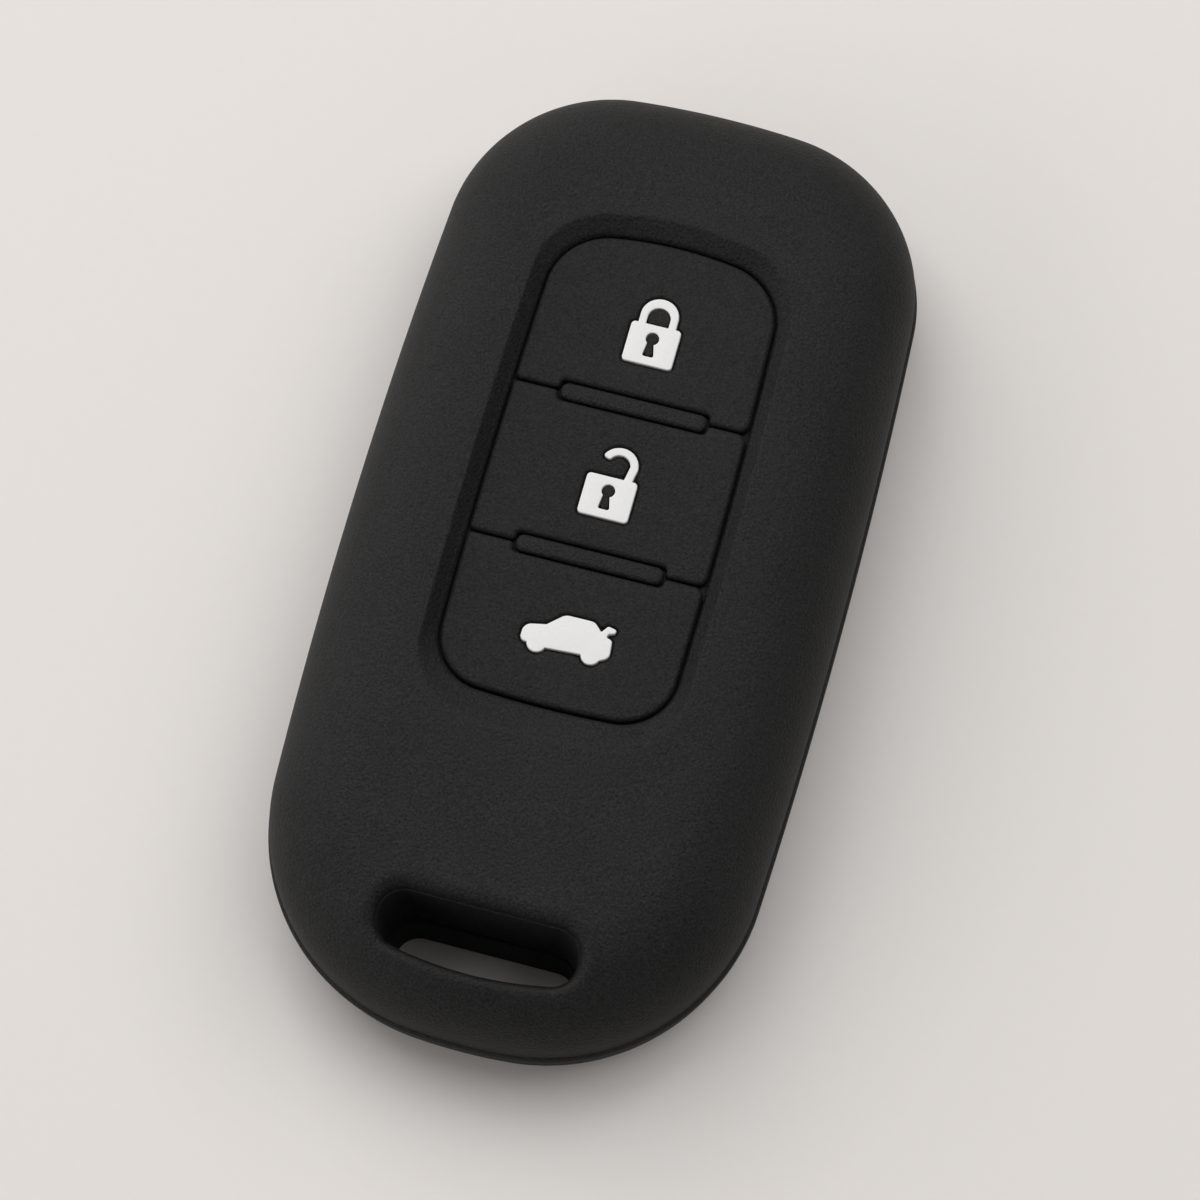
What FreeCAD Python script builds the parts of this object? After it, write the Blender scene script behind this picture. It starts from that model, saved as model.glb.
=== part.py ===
import FreeCAD, Part
import math
import os

Vector = FreeCAD.Vector

# Cover: a rounded pebble outline, widest a little above its middle.
# A corner run is how much of an end's half width the corner arc takes, and sets that arc's radius.
cover_length = 80.1
cover_width = 40.15
cover_height = 15.0
widest_above_middle = 2.47
side_arc_radius = 525.0
top_arc_radius = 81.0
top_corner_run = 13.16
bottom_arc_radius = 44.4
bottom_corner_run = 16.14
seam_height = 5.35
wall = 2.0
front_edge_radius = 7.6
back_edge_radius = 3.2
seam_groove = 0.15
seam_bead_proud = 0.25
seam_bead_height = 0.9
seam_bead_radius = 0.2
face_arc_across = 220.0
face_arc_along = 1000.0

# Fob pocket and the rear window that the fob goes in by
back_wall = 1.6
pocket_roof_radius = 4.5
pocket_end_radius = 120.0
pocket_end_corner_run = 8.25
window_lip = 4.0

# Button panel, measured to the middle of the groove round the pads
panel_rise = 5.415
panel_width = 19.3
panel_widest_drop = 2.1
panel_side_radius = 555.0
panel_top_radius = 32.0
panel_top_corner_run = 4.65
panel_bottom_radius = 85.0
panel_bottom_corner_run = 4.28
pad_sink = 1.2
lock_pad_length = 14.25
unlock_pad_length = 13.25
boot_pad_length = 12.55
groove_width = 0.35
groove_depth = 0.8
pad_edge_radius = 0.25
pad_corner_radius = 0.6
notch_corner_radius = 0.3

# Recess that slopes down from the face to the pads
recess_side_run = 1.0
recess_top_run = 1.75
recess_bottom_run = 3.3
recess_top_radius = 25.0
recess_top_corner_run = 4.51
recess_bottom_radius = 60.0
recess_bottom_corner_run = 5.51
recess_depth = 0.95

# Flexing web under the pads, and the boss under each pad
web_thickness = 0.5
web_flange = 1.2
web_ledge = 1.0
boss_clearance = 0.3
boss_drop = 0.7

# Divider bars, measured to the middle of the groove round them
bar_length = 12.0
bar_width = 1.58
bar_end_radius = 0.7
sign_line = 0.25

# Key-ring slot through the tail
slot_length = 16.0
slot_width = 4.8
slot_tail = 3.95
slot_near_radius = 50.0
slot_corner_radius = 2.1
slot_draft = 0.6
slot_rim_radius = 1.1
slot_back_rim_radius = 0.6

# White signs set into the pads
sign_depth = 0.3
sign_proud = 0.12
lock_sign_rise = 5.45
unlock_sign_rise = 5.3
boot_sign_rise = 5.85
padlock_width = 4.05
padlock_body_height = 3.5
padlock_corner = 0.35
shackle_width = 3.1
shackle_stroke = 0.66
shackle_leg = 0.75
keyhole_radius = 0.53
keyhole_drop = 1.5
keyhole_foot = 0.84
open_shackle_radius = 1.53
open_shackle_rise = 1.05
open_shackle_shift = 0.25
open_shackle_lean = 0.23
boot_sign_length = 7.3
wheel_radius = 0.78

# Corners of the car, nose first: across, up and rounding, as shares of the sign's length
car_corner_shares = (
    (-0.504, -0.164, 0.068), (-0.500, 0.041, 0.103), (-0.260, 0.086, 0.021), (-0.103, 0.242, 0.110),
    (0.212, 0.242, 0.123), (0.325, 0.144, 0.007), (0.379, 0.219, 0.027), (0.484, 0.219, 0.029),
    (0.484, 0.158, 0.029), (0.397, 0.130, 0.014), (0.393, 0.085, 0.012), (0.479, 0.078, 0.041),
    (0.503, -0.164, 0.123),
)
wheel_shares = ((-0.295, -0.150), (0.295, -0.150))
open_shackle_turn_share = 0.88

# Most of a bar's width, of the slot's width and of an end's half width that a corner may take
bar_end_limit_share = 0.45
slot_corner_limit_share = 0.44
corner_run_limit_share = 0.85

overrun = 1.0
flat_tolerance_share = 0.001

# Places worked out from the sizes above
pad_height = cover_height - pad_sink
groove_floor = pad_height - groove_depth
roof_height = groove_floor - web_thickness
panel_top = panel_rise + (lock_pad_length + unlock_pad_length + boot_pad_length) / 2
panel_widest = panel_rise - panel_widest_drop
upper_divider = panel_top - lock_pad_length
lower_divider = upper_divider - unlock_pad_length
panel_bottom = lower_divider - boot_pad_length
lock_sign_middle = upper_divider + lock_sign_rise
unlock_sign_middle = lower_divider + unlock_sign_rise
boot_sign_middle = panel_bottom + boot_sign_rise
slot_near_wall = slot_tail - cover_length / 2
slot_far_wall = slot_near_wall + slot_width
bar_end = min(bar_end_radius, bar_end_limit_share * bar_width)
slot_corner = min(slot_corner_radius, slot_corner_limit_share * slot_width)
face_fall = cover_width ** 2 / (8 * face_arc_across) + cover_length ** 2 / (8 * face_arc_along)
edge_room = cover_height - face_fall - seam_height - 2 * seam_groove
front_edge = min(front_edge_radius, edge_room)


def polar(centre, radius, angle):
    """Point on a flat circle about a centre."""
    return Vector(centre.x + radius * math.cos(angle), centre.y + radius * math.sin(angle), centre.z)


def heading(start, end):
    """Angle of the flat line from one point to another."""
    return math.atan2(end.y - start.y, end.x - start.x)


def arc_between(centre, radius, start_angle, end_angle):
    """Arc edge on a circle, from one angle to another."""
    middle = polar(centre, radius, (start_angle + end_angle) / 2)
    start = polar(centre, radius, start_angle)
    return Part.Arc(start, middle, polar(centre, radius, end_angle)).toShape()


def corner_circle(end_centre, end_angle, end_radius, side_centre, side_radius):
    """Centre and radius of the circle that leaves an end arc at an angle and runs into a side arc."""
    leave = polar(end_centre, end_radius, end_angle)
    inward = (end_centre - leave).normalize()
    offset = leave - side_centre
    radius = (side_radius ** 2 - offset.dot(offset)) / (2 * (side_radius + offset.dot(inward)))
    return leave + inward * radius, radius


def raised(wire, height):
    """Solid standing on a flat closed wire."""
    return Part.Face(wire).extrude(Vector(0, 0, height))


def rounded_corner(before, corner, after, radius):
    """Arc that rounds the corner of a polygon."""
    back = (before - corner).normalize()
    ahead = (after - corner).normalize()
    half_angle = back.getAngle(ahead) / 2
    reach = radius / math.tan(half_angle)
    inward = (back + ahead).normalize()
    middle = corner + inward * (radius / math.sin(half_angle) - radius)
    return Part.Arc(corner + back * reach, middle, corner + ahead * reach).toShape()


def rounded_polygon(points, radii):
    """Closed wire through points, each corner rounded by its own radius."""
    count = len(points)
    arcs = [rounded_corner(points[i - 1], points[i], points[(i + 1) % count], radii[i]) for i in range(count)]
    edges = []
    for index, arc in enumerate(arcs):
        following = arcs[(index + 1) % count]
        start = arc.lastVertex(True).Point
        edges += [arc, Part.LineSegment(start, following.firstVertex(True).Point).toShape()]
    return Part.Wire(Part.sortEdges(edges)[0])


def rounded_rectangle(middle_x, middle_y, width, height, corner, level):
    """Closed wire of a rectangle with round corners, at a level."""
    signs = ((-1, -1), (1, -1), (1, 1), (-1, 1))
    points = [Vector(middle_x + a * width / 2, middle_y + b * height / 2, level) for a, b in signs]
    return rounded_polygon(points, [corner] * len(points))


class Pebble:
    """Closed outline of eight tangent arcs, mirrored across the long axis."""

    def __init__(self, width, top, bottom, widest, side_radius, top_radius, top_corner_run,
                 bottom_radius, bottom_corner_run):
        self.half_width = width / 2
        self.top = top
        self.bottom = bottom
        self.widest = widest
        self.side_radius = side_radius
        self.top_radius = top_radius
        self.bottom_radius = bottom_radius
        longest_run = corner_run_limit_share * self.half_width
        self.top_reach = self.half_width - min(top_corner_run, longest_run)
        self.bottom_reach = self.half_width - min(bottom_corner_run, longest_run)

    def wire(self, inset, height):
        """Outline drawn in by an inset, at a height."""
        top_centre = Vector(0, self.top - self.top_radius, height)
        bottom_centre = Vector(0, self.bottom + self.bottom_radius, height)
        side_centre = Vector(self.half_width - self.side_radius, self.widest, height)
        upper_end = math.acos(self.top_reach / self.top_radius)
        lower_end = -math.acos(self.bottom_reach / self.bottom_radius)
        upper, upper_radius = corner_circle(top_centre, upper_end, self.top_radius,
                                            side_centre, self.side_radius)
        lower, lower_radius = corner_circle(bottom_centre, lower_end, self.bottom_radius,
                                            side_centre, self.side_radius)
        lower_side = heading(side_centre, lower)
        upper_side = heading(side_centre, upper)
        right = [
            arc_between(lower, lower_radius - inset, lower_end, lower_side),
            arc_between(side_centre, self.side_radius - inset, lower_side, upper_side),
            arc_between(upper, upper_radius - inset, upper_side, upper_end),
        ]
        top = arc_between(top_centre, self.top_radius - inset, upper_end, math.pi - upper_end)
        left = [edge.mirror(Vector(0, 0, 0), Vector(1, 0, 0)) for edge in right]
        bottom = arc_between(bottom_centre, self.bottom_radius - inset, -math.pi - lower_end, lower_end)
        return Part.Wire(Part.sortEdges(right + [top] + left + [bottom])[0])

    def prism(self, inset, low, high):
        """Solid between two heights on the outline drawn in by an inset."""
        return raised(self.wire(inset, low), high - low)


cover_outline = Pebble(cover_width, cover_length / 2, -cover_length / 2, widest_above_middle,
                       side_arc_radius, top_arc_radius, top_corner_run,
                       bottom_arc_radius, bottom_corner_run)
pocket_top_corner_run = top_corner_run - wall * (1 - cover_outline.top_reach / top_arc_radius)
pocket_outline = Pebble(cover_width - 2 * wall, cover_length / 2 - wall, slot_far_wall + wall,
                        widest_above_middle, side_arc_radius - wall, top_arc_radius - wall,
                        pocket_top_corner_run, pocket_end_radius, pocket_end_corner_run)
panel_outline = Pebble(panel_width, panel_top, panel_bottom, panel_widest,
                       panel_side_radius, panel_top_radius, panel_top_corner_run,
                       panel_bottom_radius, panel_bottom_corner_run)
recess_outline = Pebble(panel_width + 2 * recess_side_run, panel_top + recess_top_run,
                        panel_bottom - recess_bottom_run, panel_widest,
                        panel_side_radius, recess_top_radius, recess_top_corner_run,
                        recess_bottom_radius, recess_bottom_corner_run)


def edges_at(shape, height):
    """Edges that lie flat at one height."""
    tolerance = overrun * flat_tolerance_share

    def lies_flat(edge):
        box = edge.BoundBox
        return box.ZLength < tolerance and abs(box.ZMin - height) < tolerance
    return [edge for edge in shape.Edges if lies_flat(edge)]


def slot_wire(length, height):
    """Key-ring slot in plan: straight far wall, rounded ends, near wall bowed with the tail."""
    half = length / 2
    corner = slot_corner
    bow_centre = Vector(0, slot_near_wall + slot_near_radius, height)
    end = Vector(half - corner, 0, height)
    lift = math.sqrt((slot_near_radius - corner) ** 2 - end.x ** 2)
    near = Vector(end.x, bow_centre.y - lift, height)
    far = Vector(end.x, slot_far_wall - corner, height)
    near_angle = heading(bow_centre, near)
    edges = [
        arc_between(near, corner, near_angle, 0),
        Part.LineSegment(polar(near, corner, 0), polar(far, corner, 0)).toShape(),
        arc_between(far, corner, 0, math.pi / 2),
    ]
    edges += [edge.mirror(Vector(0, 0, 0), Vector(1, 0, 0)) for edge in edges]
    right_end = polar(far, corner, math.pi / 2)
    left_end = Vector(-right_end.x, right_end.y, height)
    edges.append(Part.LineSegment(left_end, right_end).toShape())
    edges.append(arc_between(bow_centre, slot_near_radius, -math.pi - near_angle, near_angle))
    return Part.Wire(Part.sortEdges(edges)[0])


def slot_front():
    """Front half of the slot, closing in from the face to the seam."""
    inner = slot_length - 2 * slot_draft
    return Part.makeLoft([slot_wire(inner, seam_height - overrun), slot_wire(inner, seam_height),
                          slot_wire(slot_length, cover_height + overrun)], True, True)


def slot_back():
    """Rear half of the slot, straight through the back."""
    inner = slot_length - 2 * slot_draft
    return raised(slot_wire(inner, -overrun), seam_height + 2 * overrun)


def slot_rim(shell, low, high):
    """Edges of the slot's mouth, between two heights."""
    def on_rim(edge):
        box = edge.BoundBox
        across = max(-box.XMin, box.XMax) < slot_length / 2 + overrun
        along = box.YMin > slot_near_wall - overrun and box.YMax < slot_far_wall + overrun
        return across and along and box.ZMin > low and box.ZMax < high
    return [edge for edge in shell.Edges if on_rim(edge)]


def domed_block():
    """Solid front half: the outline raised to a face that is domed both ways, with a soft edge."""
    block = cover_outline.prism(0, seam_height, cover_height + overrun)
    dome = Part.makeTorus(face_arc_along - face_arc_across, face_arc_across,
                          Vector(0, 0, cover_height - face_arc_along), Vector(1, 0, 0))
    block = block.common(dome)
    face = max(block.Faces, key=lambda item: item.CenterOfMass.z)
    block = block.makeFillet(front_edge, face.OuterWire.Edges)
    return block.makeChamfer(seam_groove, edges_at(block, seam_height))


def front_pocket():
    """Upper part of the fob pocket, with a round edge to its roof."""
    pocket = pocket_outline.prism(0, seam_height - overrun, roof_height)
    return pocket.makeFillet(pocket_roof_radius, edges_at(pocket, roof_height))


def recess():
    """Sloping recess from the face down to the pads."""
    rim = pad_height + recess_depth
    slope = Part.makeLoft([panel_outline.wire(-groove_width / 2, pad_height),
                           recess_outline.wire(0, rim)], True, True)
    return slope.fuse(recess_outline.prism(0, rim, cover_height + overrun))


def front_shell():
    """Front half of the cover."""
    shell = domed_block().cut(front_pocket())
    shell = shell.cut(recess())
    shell = shell.cut(panel_outline.prism(-groove_width / 2, roof_height - overrun, pad_height + overrun))
    shell = shell.cut(panel_outline.prism(-web_flange, roof_height - overrun, groove_floor))
    shell = shell.cut(slot_front())
    return shell.makeFillet(slot_rim_radius, slot_rim(shell, roof_height, cover_height))


def seam_bead():
    """Slab whose rounded rim stands a little proud of the side, just under the seam."""
    low = seam_height - seam_bead_height
    slab = cover_outline.prism(-seam_bead_proud, low, seam_height)
    return slab.makeFillet(seam_bead_radius, edges_at(slab, low) + edges_at(slab, seam_height))


def back_shell():
    """Rear half of the cover, with its seam bead, its window and the lip that holds the fob."""
    shell = cover_outline.prism(0, 0, seam_height)
    shell = shell.makeFillet(back_edge_radius, edges_at(shell, 0))
    shell = shell.fuse(seam_bead()).removeSplitter()
    pocket = pocket_outline.prism(0, back_wall, seam_height + overrun)
    pocket = pocket.makeFillet(back_edge_radius - wall, edges_at(pocket, back_wall))
    shell = shell.cut(pocket)
    shell = shell.cut(pocket_outline.prism(window_lip, -overrun, back_wall + overrun))
    shell = shell.cut(slot_back())
    return shell.makeFillet(slot_back_rim_radius, slot_rim(shell, -overrun, overrun))


def button_band(low, high, inset, bottom, top):
    """Slab across the panel between two lines along it, drawn in by an inset."""
    size = Vector(panel_width + 2 * overrun, high - low - 2 * inset, top - bottom)
    return Part.makeBox(size.x, size.y, size.z, Vector(-size.x / 2, low + inset, bottom))


def button_block(low, high, inset, bottom, top):
    """Part of the panel between two dividers, drawn in by an inset all round."""
    return panel_outline.prism(inset, bottom, top).common(button_band(low, high, inset, bottom, top))


def notch_prism(divider):
    """Round-ended clearance that a divider bar needs in the pads beside it."""
    radius = (bar_width + groove_width) / 2
    half_run = (bar_length + groove_width) / 2 - radius
    level = groove_floor - overrun
    right = Vector(sign_line + half_run, divider, level)
    left = Vector(sign_line - half_run, divider, level)
    quarter = math.pi / 2
    ends = [arc_between(right, radius, -quarter, quarter), arc_between(left, radius, quarter, 3 * quarter)]
    sides = [Part.LineSegment(polar(right, radius, turn), polar(left, radius, turn)).toShape()
             for turn in (quarter, -quarter)]
    return raised(Part.Wire(Part.sortEdges(ends + sides)[0]), pad_height - groove_floor + 2 * overrun)


def button_web():
    """Thin skin under the pads, with a window for each pad's boss."""
    web = panel_outline.prism(-web_flange, roof_height, groove_floor)
    for low, high in button_spans.values():
        web = web.cut(button_block(low, high, groove_width / 2 + web_ledge,
                                   roof_height - overrun, groove_floor + overrun))
    return web


def uprights_at(pad, dividers):
    """Upright edges of a pad that stand beside a divider line."""
    def beside(edge):
        place = edge.BoundBox.YMin
        return any(abs(place - divider) < groove_width for divider in dividers)
    return [edge for edge in pad.Edges if edge.BoundBox.ZLength > groove_depth / 2 and beside(edge)]


def button(low, high, sign):
    """Pad with notches for the divider bars, a boss below and a pocket for its sign."""
    pad = button_block(low, high, groove_width / 2, groove_floor, pad_height)
    pad = pad.makeFillet(pad_corner_radius, uprights_at(pad, (low, high)))
    for divider in (lower_divider, upper_divider):
        pad = pad.cut(notch_prism(divider))
    near_bar = bar_length / 2 + bar_width
    mouth = [edge for edge in uprights_at(pad, (low, high)) if abs(edge.BoundBox.XMin) < near_bar]
    pad = pad.makeFillet(notch_corner_radius, mouth)
    pad = pad.makeFillet(pad_edge_radius, edges_at(pad, pad_height))
    boss_inset = groove_width / 2 + web_ledge + boss_clearance
    pad = pad.fuse(button_block(low, high, boss_inset, roof_height - boss_drop, groove_floor))
    return pad.cut(sign).removeSplitter()


def divider_bar(divider):
    """Slim rib standing on the web between two pads."""
    wire = rounded_rectangle(sign_line, divider, bar_length - groove_width, bar_width - groove_width,
                             bar_end - groove_width / 2, groove_floor)
    bar = raised(wire, groove_depth)
    return bar.makeFillet(pad_edge_radius, edges_at(bar, pad_height))


def padlock_body(middle):
    """Padlock's body, with its keyhole."""
    level = pad_height - sign_depth
    height = sign_depth + sign_proud
    outline = rounded_rectangle(sign_line, middle, padlock_width, padlock_body_height, padlock_corner, level)
    body = raised(outline, height)
    eye = Vector(sign_line, middle + keyhole_radius, level - overrun)
    hole = Part.makeCylinder(keyhole_radius, height + 2 * overrun, eye)
    foot = [Vector(sign_line + side * keyhole_foot / 2, eye.y - keyhole_drop, eye.z) for side in (-1, 1)]
    slit = raised(Part.makePolygon([eye] + foot + [eye]), height + 2 * overrun)
    return body.cut(hole.fuse(slit))


def lock_sign():
    """Closed padlock."""
    level = pad_height - sign_depth
    shoulder = lock_sign_middle + padlock_body_height / 2
    root = shoulder - padlock_corner
    crown = Vector(sign_line, shoulder + shackle_leg, level)
    edges = []
    ends = []
    for radius in (shackle_width / 2, shackle_width / 2 - shackle_stroke):
        edges.append(arc_between(crown, radius, 0, math.pi))
        for side in (-1, 1):
            top = Vector(crown.x + side * radius, crown.y, level)
            ends.append(Vector(top.x, root, level))
            edges.append(Part.LineSegment(top, ends[-1]).toShape())
    for outer, inner in ((ends[0], ends[2]), (ends[1], ends[3])):
        edges.append(Part.LineSegment(outer, inner).toShape())
    shackle = raised(Part.Wire(Part.sortEdges(edges)[0]), sign_depth + sign_proud)
    return padlock_body(lock_sign_middle).fuse(shackle).removeSplitter()


def unlock_sign():
    """Padlock whose shackle has swung open."""
    level = pad_height - sign_depth
    shoulder = unlock_sign_middle + padlock_body_height / 2
    hub = Vector(sign_line + open_shackle_shift, shoulder + open_shackle_rise, level)
    turn = open_shackle_turn_share * math.pi
    radii = (open_shackle_radius, open_shackle_radius - shackle_stroke)
    tips = [polar(hub, radius, turn) for radius in radii]
    feet = [Vector(hub.x + radius - open_shackle_lean, shoulder - padlock_corner, level) for radius in radii]
    edges = [Part.LineSegment(*tips).toShape(), Part.LineSegment(*feet).toShape()]
    for radius, foot in zip(radii, feet):
        edges.append(arc_between(hub, radius, 0, turn))
        edges.append(Part.LineSegment(polar(hub, radius, 0), foot).toShape())
    shackle = raised(Part.Wire(Part.sortEdges(edges)[0]), sign_depth + sign_proud)
    return padlock_body(unlock_sign_middle).fuse(shackle).removeSplitter()


def boot_sign():
    """Car seen from the side, nose to the left, with its boot lid raised."""
    level = pad_height - sign_depth
    height = sign_depth + sign_proud
    middle = Vector(sign_line, boot_sign_middle, level)
    corners = [middle + Vector(across, up, 0) * boot_sign_length for across, up, _ in car_corner_shares]
    radii = [rounding * boot_sign_length for _, _, rounding in car_corner_shares]
    car = raised(rounded_polygon(corners, radii), height)
    for across, up in wheel_shares:
        hub = middle + Vector(across, up, 0) * boot_sign_length
        car = car.fuse(Part.makeCylinder(wheel_radius, height, hub))
    return car.removeSplitter()


button_spans = {
    "lock_button": (upper_divider, panel_top + overrun),
    "unlock_button": (lower_divider, upper_divider),
    "boot_button": (panel_bottom - overrun, lower_divider),
}


def main():
    """Make every piece and write each to its own file."""
    signs = {"lock_sign": lock_sign(), "unlock_sign": unlock_sign(), "boot_sign": boot_sign()}
    pieces = {"front_shell": front_shell(), "back_shell": back_shell(), "button_web": button_web()}
    for (name, span), sign in zip(button_spans.items(), signs.values()):
        pieces[name] = button(*span, sign)
    pieces["upper_divider_bar"] = divider_bar(upper_divider)
    pieces["lower_divider_bar"] = divider_bar(lower_divider)
    pieces.update(signs)
    os.makedirs("parts", exist_ok=True)
    for name, shape in pieces.items():
        print(name, shape.isValid(), len(shape.Solids), round(shape.Volume, 2))
        shape.exportStep("parts/" + name + ".step")


if __name__ == "__main__":
    main()
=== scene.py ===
import logging
import math
from collections.abc import Callable, Iterable, Mapping, Sequence
from dataclasses import dataclass, field
from enum import Enum
from functools import partial
from typing import Any

import bmesh
import bpy
import numpy as np
from mathutils import Matrix, Vector
from mathutils.geometry import delaunay_2d_cdt


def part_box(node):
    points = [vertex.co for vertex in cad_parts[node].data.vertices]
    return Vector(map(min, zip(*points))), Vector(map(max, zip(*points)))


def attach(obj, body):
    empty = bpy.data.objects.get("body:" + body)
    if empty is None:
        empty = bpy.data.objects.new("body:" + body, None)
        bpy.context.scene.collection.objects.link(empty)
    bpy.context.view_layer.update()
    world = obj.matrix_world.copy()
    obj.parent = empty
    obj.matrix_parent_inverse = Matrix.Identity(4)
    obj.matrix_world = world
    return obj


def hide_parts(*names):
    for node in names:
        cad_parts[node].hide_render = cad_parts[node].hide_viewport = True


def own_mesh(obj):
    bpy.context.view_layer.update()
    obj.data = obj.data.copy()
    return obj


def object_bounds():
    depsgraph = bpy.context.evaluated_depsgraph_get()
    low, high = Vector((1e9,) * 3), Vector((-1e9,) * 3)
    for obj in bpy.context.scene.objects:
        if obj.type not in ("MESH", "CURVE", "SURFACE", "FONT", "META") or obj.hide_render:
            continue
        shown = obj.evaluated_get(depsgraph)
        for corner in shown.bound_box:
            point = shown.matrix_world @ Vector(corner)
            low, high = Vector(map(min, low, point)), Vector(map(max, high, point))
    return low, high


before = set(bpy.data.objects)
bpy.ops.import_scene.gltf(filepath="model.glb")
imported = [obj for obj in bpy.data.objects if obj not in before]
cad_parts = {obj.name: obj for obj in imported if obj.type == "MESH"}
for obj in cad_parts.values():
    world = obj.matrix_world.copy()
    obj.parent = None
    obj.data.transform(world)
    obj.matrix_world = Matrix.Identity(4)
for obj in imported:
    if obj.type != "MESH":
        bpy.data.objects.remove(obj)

CAD_LOW, CAD_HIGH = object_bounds()
MM = 0.001
HALF_TURN = math.pi
QUARTER_TURN = math.pi / 2
SMOOTH_ANGLE = math.radians(32)
FAN_SLACK = 1e-6
SET_OFF_SHARE = 0.985
WELD = 1e-7
OUT_TO_HULL = 0

Point = tuple[float, float]
Loop = list[Point]
Colour = tuple[float, float, float]
Counts = tuple[int, int, int, int, int]

log = logging.getLogger("key_fob_cover")


# Plan drawing

def arc(centre: Point, radius: float, start: float, end: float, count: int) -> Loop:
    """Points along an arc, up to but without its end."""
    turns = [start + (end - start) * index / count for index in range(count)]
    return [(centre[0] + radius * math.cos(turn), centre[1] + radius * math.sin(turn)) for turn in turns]


def between(start: Point, end: Point, share: float) -> Point:
    """Point at a share of the way from one point to another."""
    return start[0] + (end[0] - start[0]) * share, start[1] + (end[1] - start[1]) * share


def line(start: Point, end: Point, count: int) -> Loop:
    """Points along a straight run, up to but without its end."""
    return [between(start, end, index / count) for index in range(count)]


def shares(count: int, first: int = 0) -> list[float]:
    """Even shares of a whole, up to and with the whole."""
    return [step / count for step in range(first, count + 1)]


@dataclass(frozen=True)
class Corner:
    """Corner of a polygon, with the radius that rounds it."""

    x: float
    y: float
    radius: float = 0.0

    def rounding(self, before: "Corner", after: "Corner", count: int) -> Loop:
        """Points of the arc that rounds this corner.

        Args:
            before: the corner that comes before it.
            after: the corner that comes next.
            count: how many steps the arc has.

        Returns:
            The arc's points, or the corner itself where it is sharp.
        """
        here = Vector((self.x, self.y))
        if not self.radius:
            return [(self.x, self.y)]
        back = (Vector((before.x, before.y)) - here).normalized()
        ahead = (Vector((after.x, after.y)) - here).normalized()
        half = back.angle(ahead) / 2
        centre = here + (back + ahead).normalized() * (self.radius / math.sin(half))
        reach = self.radius / math.tan(half)
        first = here + back * reach - centre
        last = here + ahead * reach - centre
        start = math.atan2(first.y, first.x)
        turn = math.remainder(math.atan2(last.y, last.x) - start, 2 * HALF_TURN)
        return arc(tuple(centre), self.radius, start, start + turn, count) + [tuple(centre + last)]


def rounded(corners: Sequence[Corner], step: float, count: int = 6) -> Loop:
    """Closed loop through corners, each rounded by its own radius.

    Args:
        corners: the corners, anticlockwise.
        step: longest gap between points on a straight run.
        count: how many steps each rounding has.

    Returns:
        The loop's points.
    """
    bends: Loop = []
    for index, corner in enumerate(corners):
        bends += corner.rounding(corners[index - 1], corners[(index + 1) % len(corners)], count)
    loop: Loop = []
    for start, end in zip(bends, bends[1:] + bends[:1]):
        loop += line(start, end, max(1, math.ceil(math.dist(start, end) / step)))
    return loop


def drawn_in(loop: Loop, inset: float) -> Loop:
    """Anticlockwise loop moved inwards along its own normals; a negative inset grows it.

    Args:
        loop: the closed loop.
        inset: how far each point moves.

    Returns:
        The moved loop, point for point.
    """
    moved: Loop = []
    for before, here, after in zip(loop[-1:] + loop[:-1], loop, loop[1:] + loop[:1]):
        run = Vector((after[0] - before[0], after[1] - before[1])).normalized()
        moved.append((here[0] - run.y * inset, here[1] + run.x * inset))
    return moved


def set_off(loop: Loop, inset: float) -> Loop:
    """Loop moved inwards or outwards, without the points that tight corners push across each other.

    Args:
        loop: the closed loop, anticlockwise.
        inset: how far each point moves inwards; a negative inset grows the loop.

    Returns:
        The moved points that keep their distance from the whole loop.
    """
    ends = np.array(loop)
    starts = np.roll(ends, 1, axis=0)
    runs = ends - starts
    kept: Loop = []
    for point in drawn_in(loop, inset):
        reaches = ((point - starts) * runs).sum(axis=1) / (runs ** 2).sum(axis=1)
        gaps = starts + np.clip(reaches, 0, 1)[:, None] * runs - point
        if np.hypot(*gaps.T).min() > SET_OFF_SHARE * abs(inset):
            kept.append(point)
    return kept


def within(points: np.ndarray, loop: Loop) -> np.ndarray:
    """Which points lie inside a closed loop.

    Args:
        points: one row of two numbers for each point.
        loop: the closed loop.

    Returns:
        True for each point inside.
    """
    hits = np.zeros(len(points), bool)
    for (ax, ay), (bx, by) in zip(loop, loop[1:] + loop[:1]):
        if ay != by:
            crosses = (ay > points[:, 1]) != (by > points[:, 1])
            hits ^= crosses & (points[:, 0] < ax + (points[:, 1] - ay) * (bx - ax) / (by - ay))
    return hits


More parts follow.
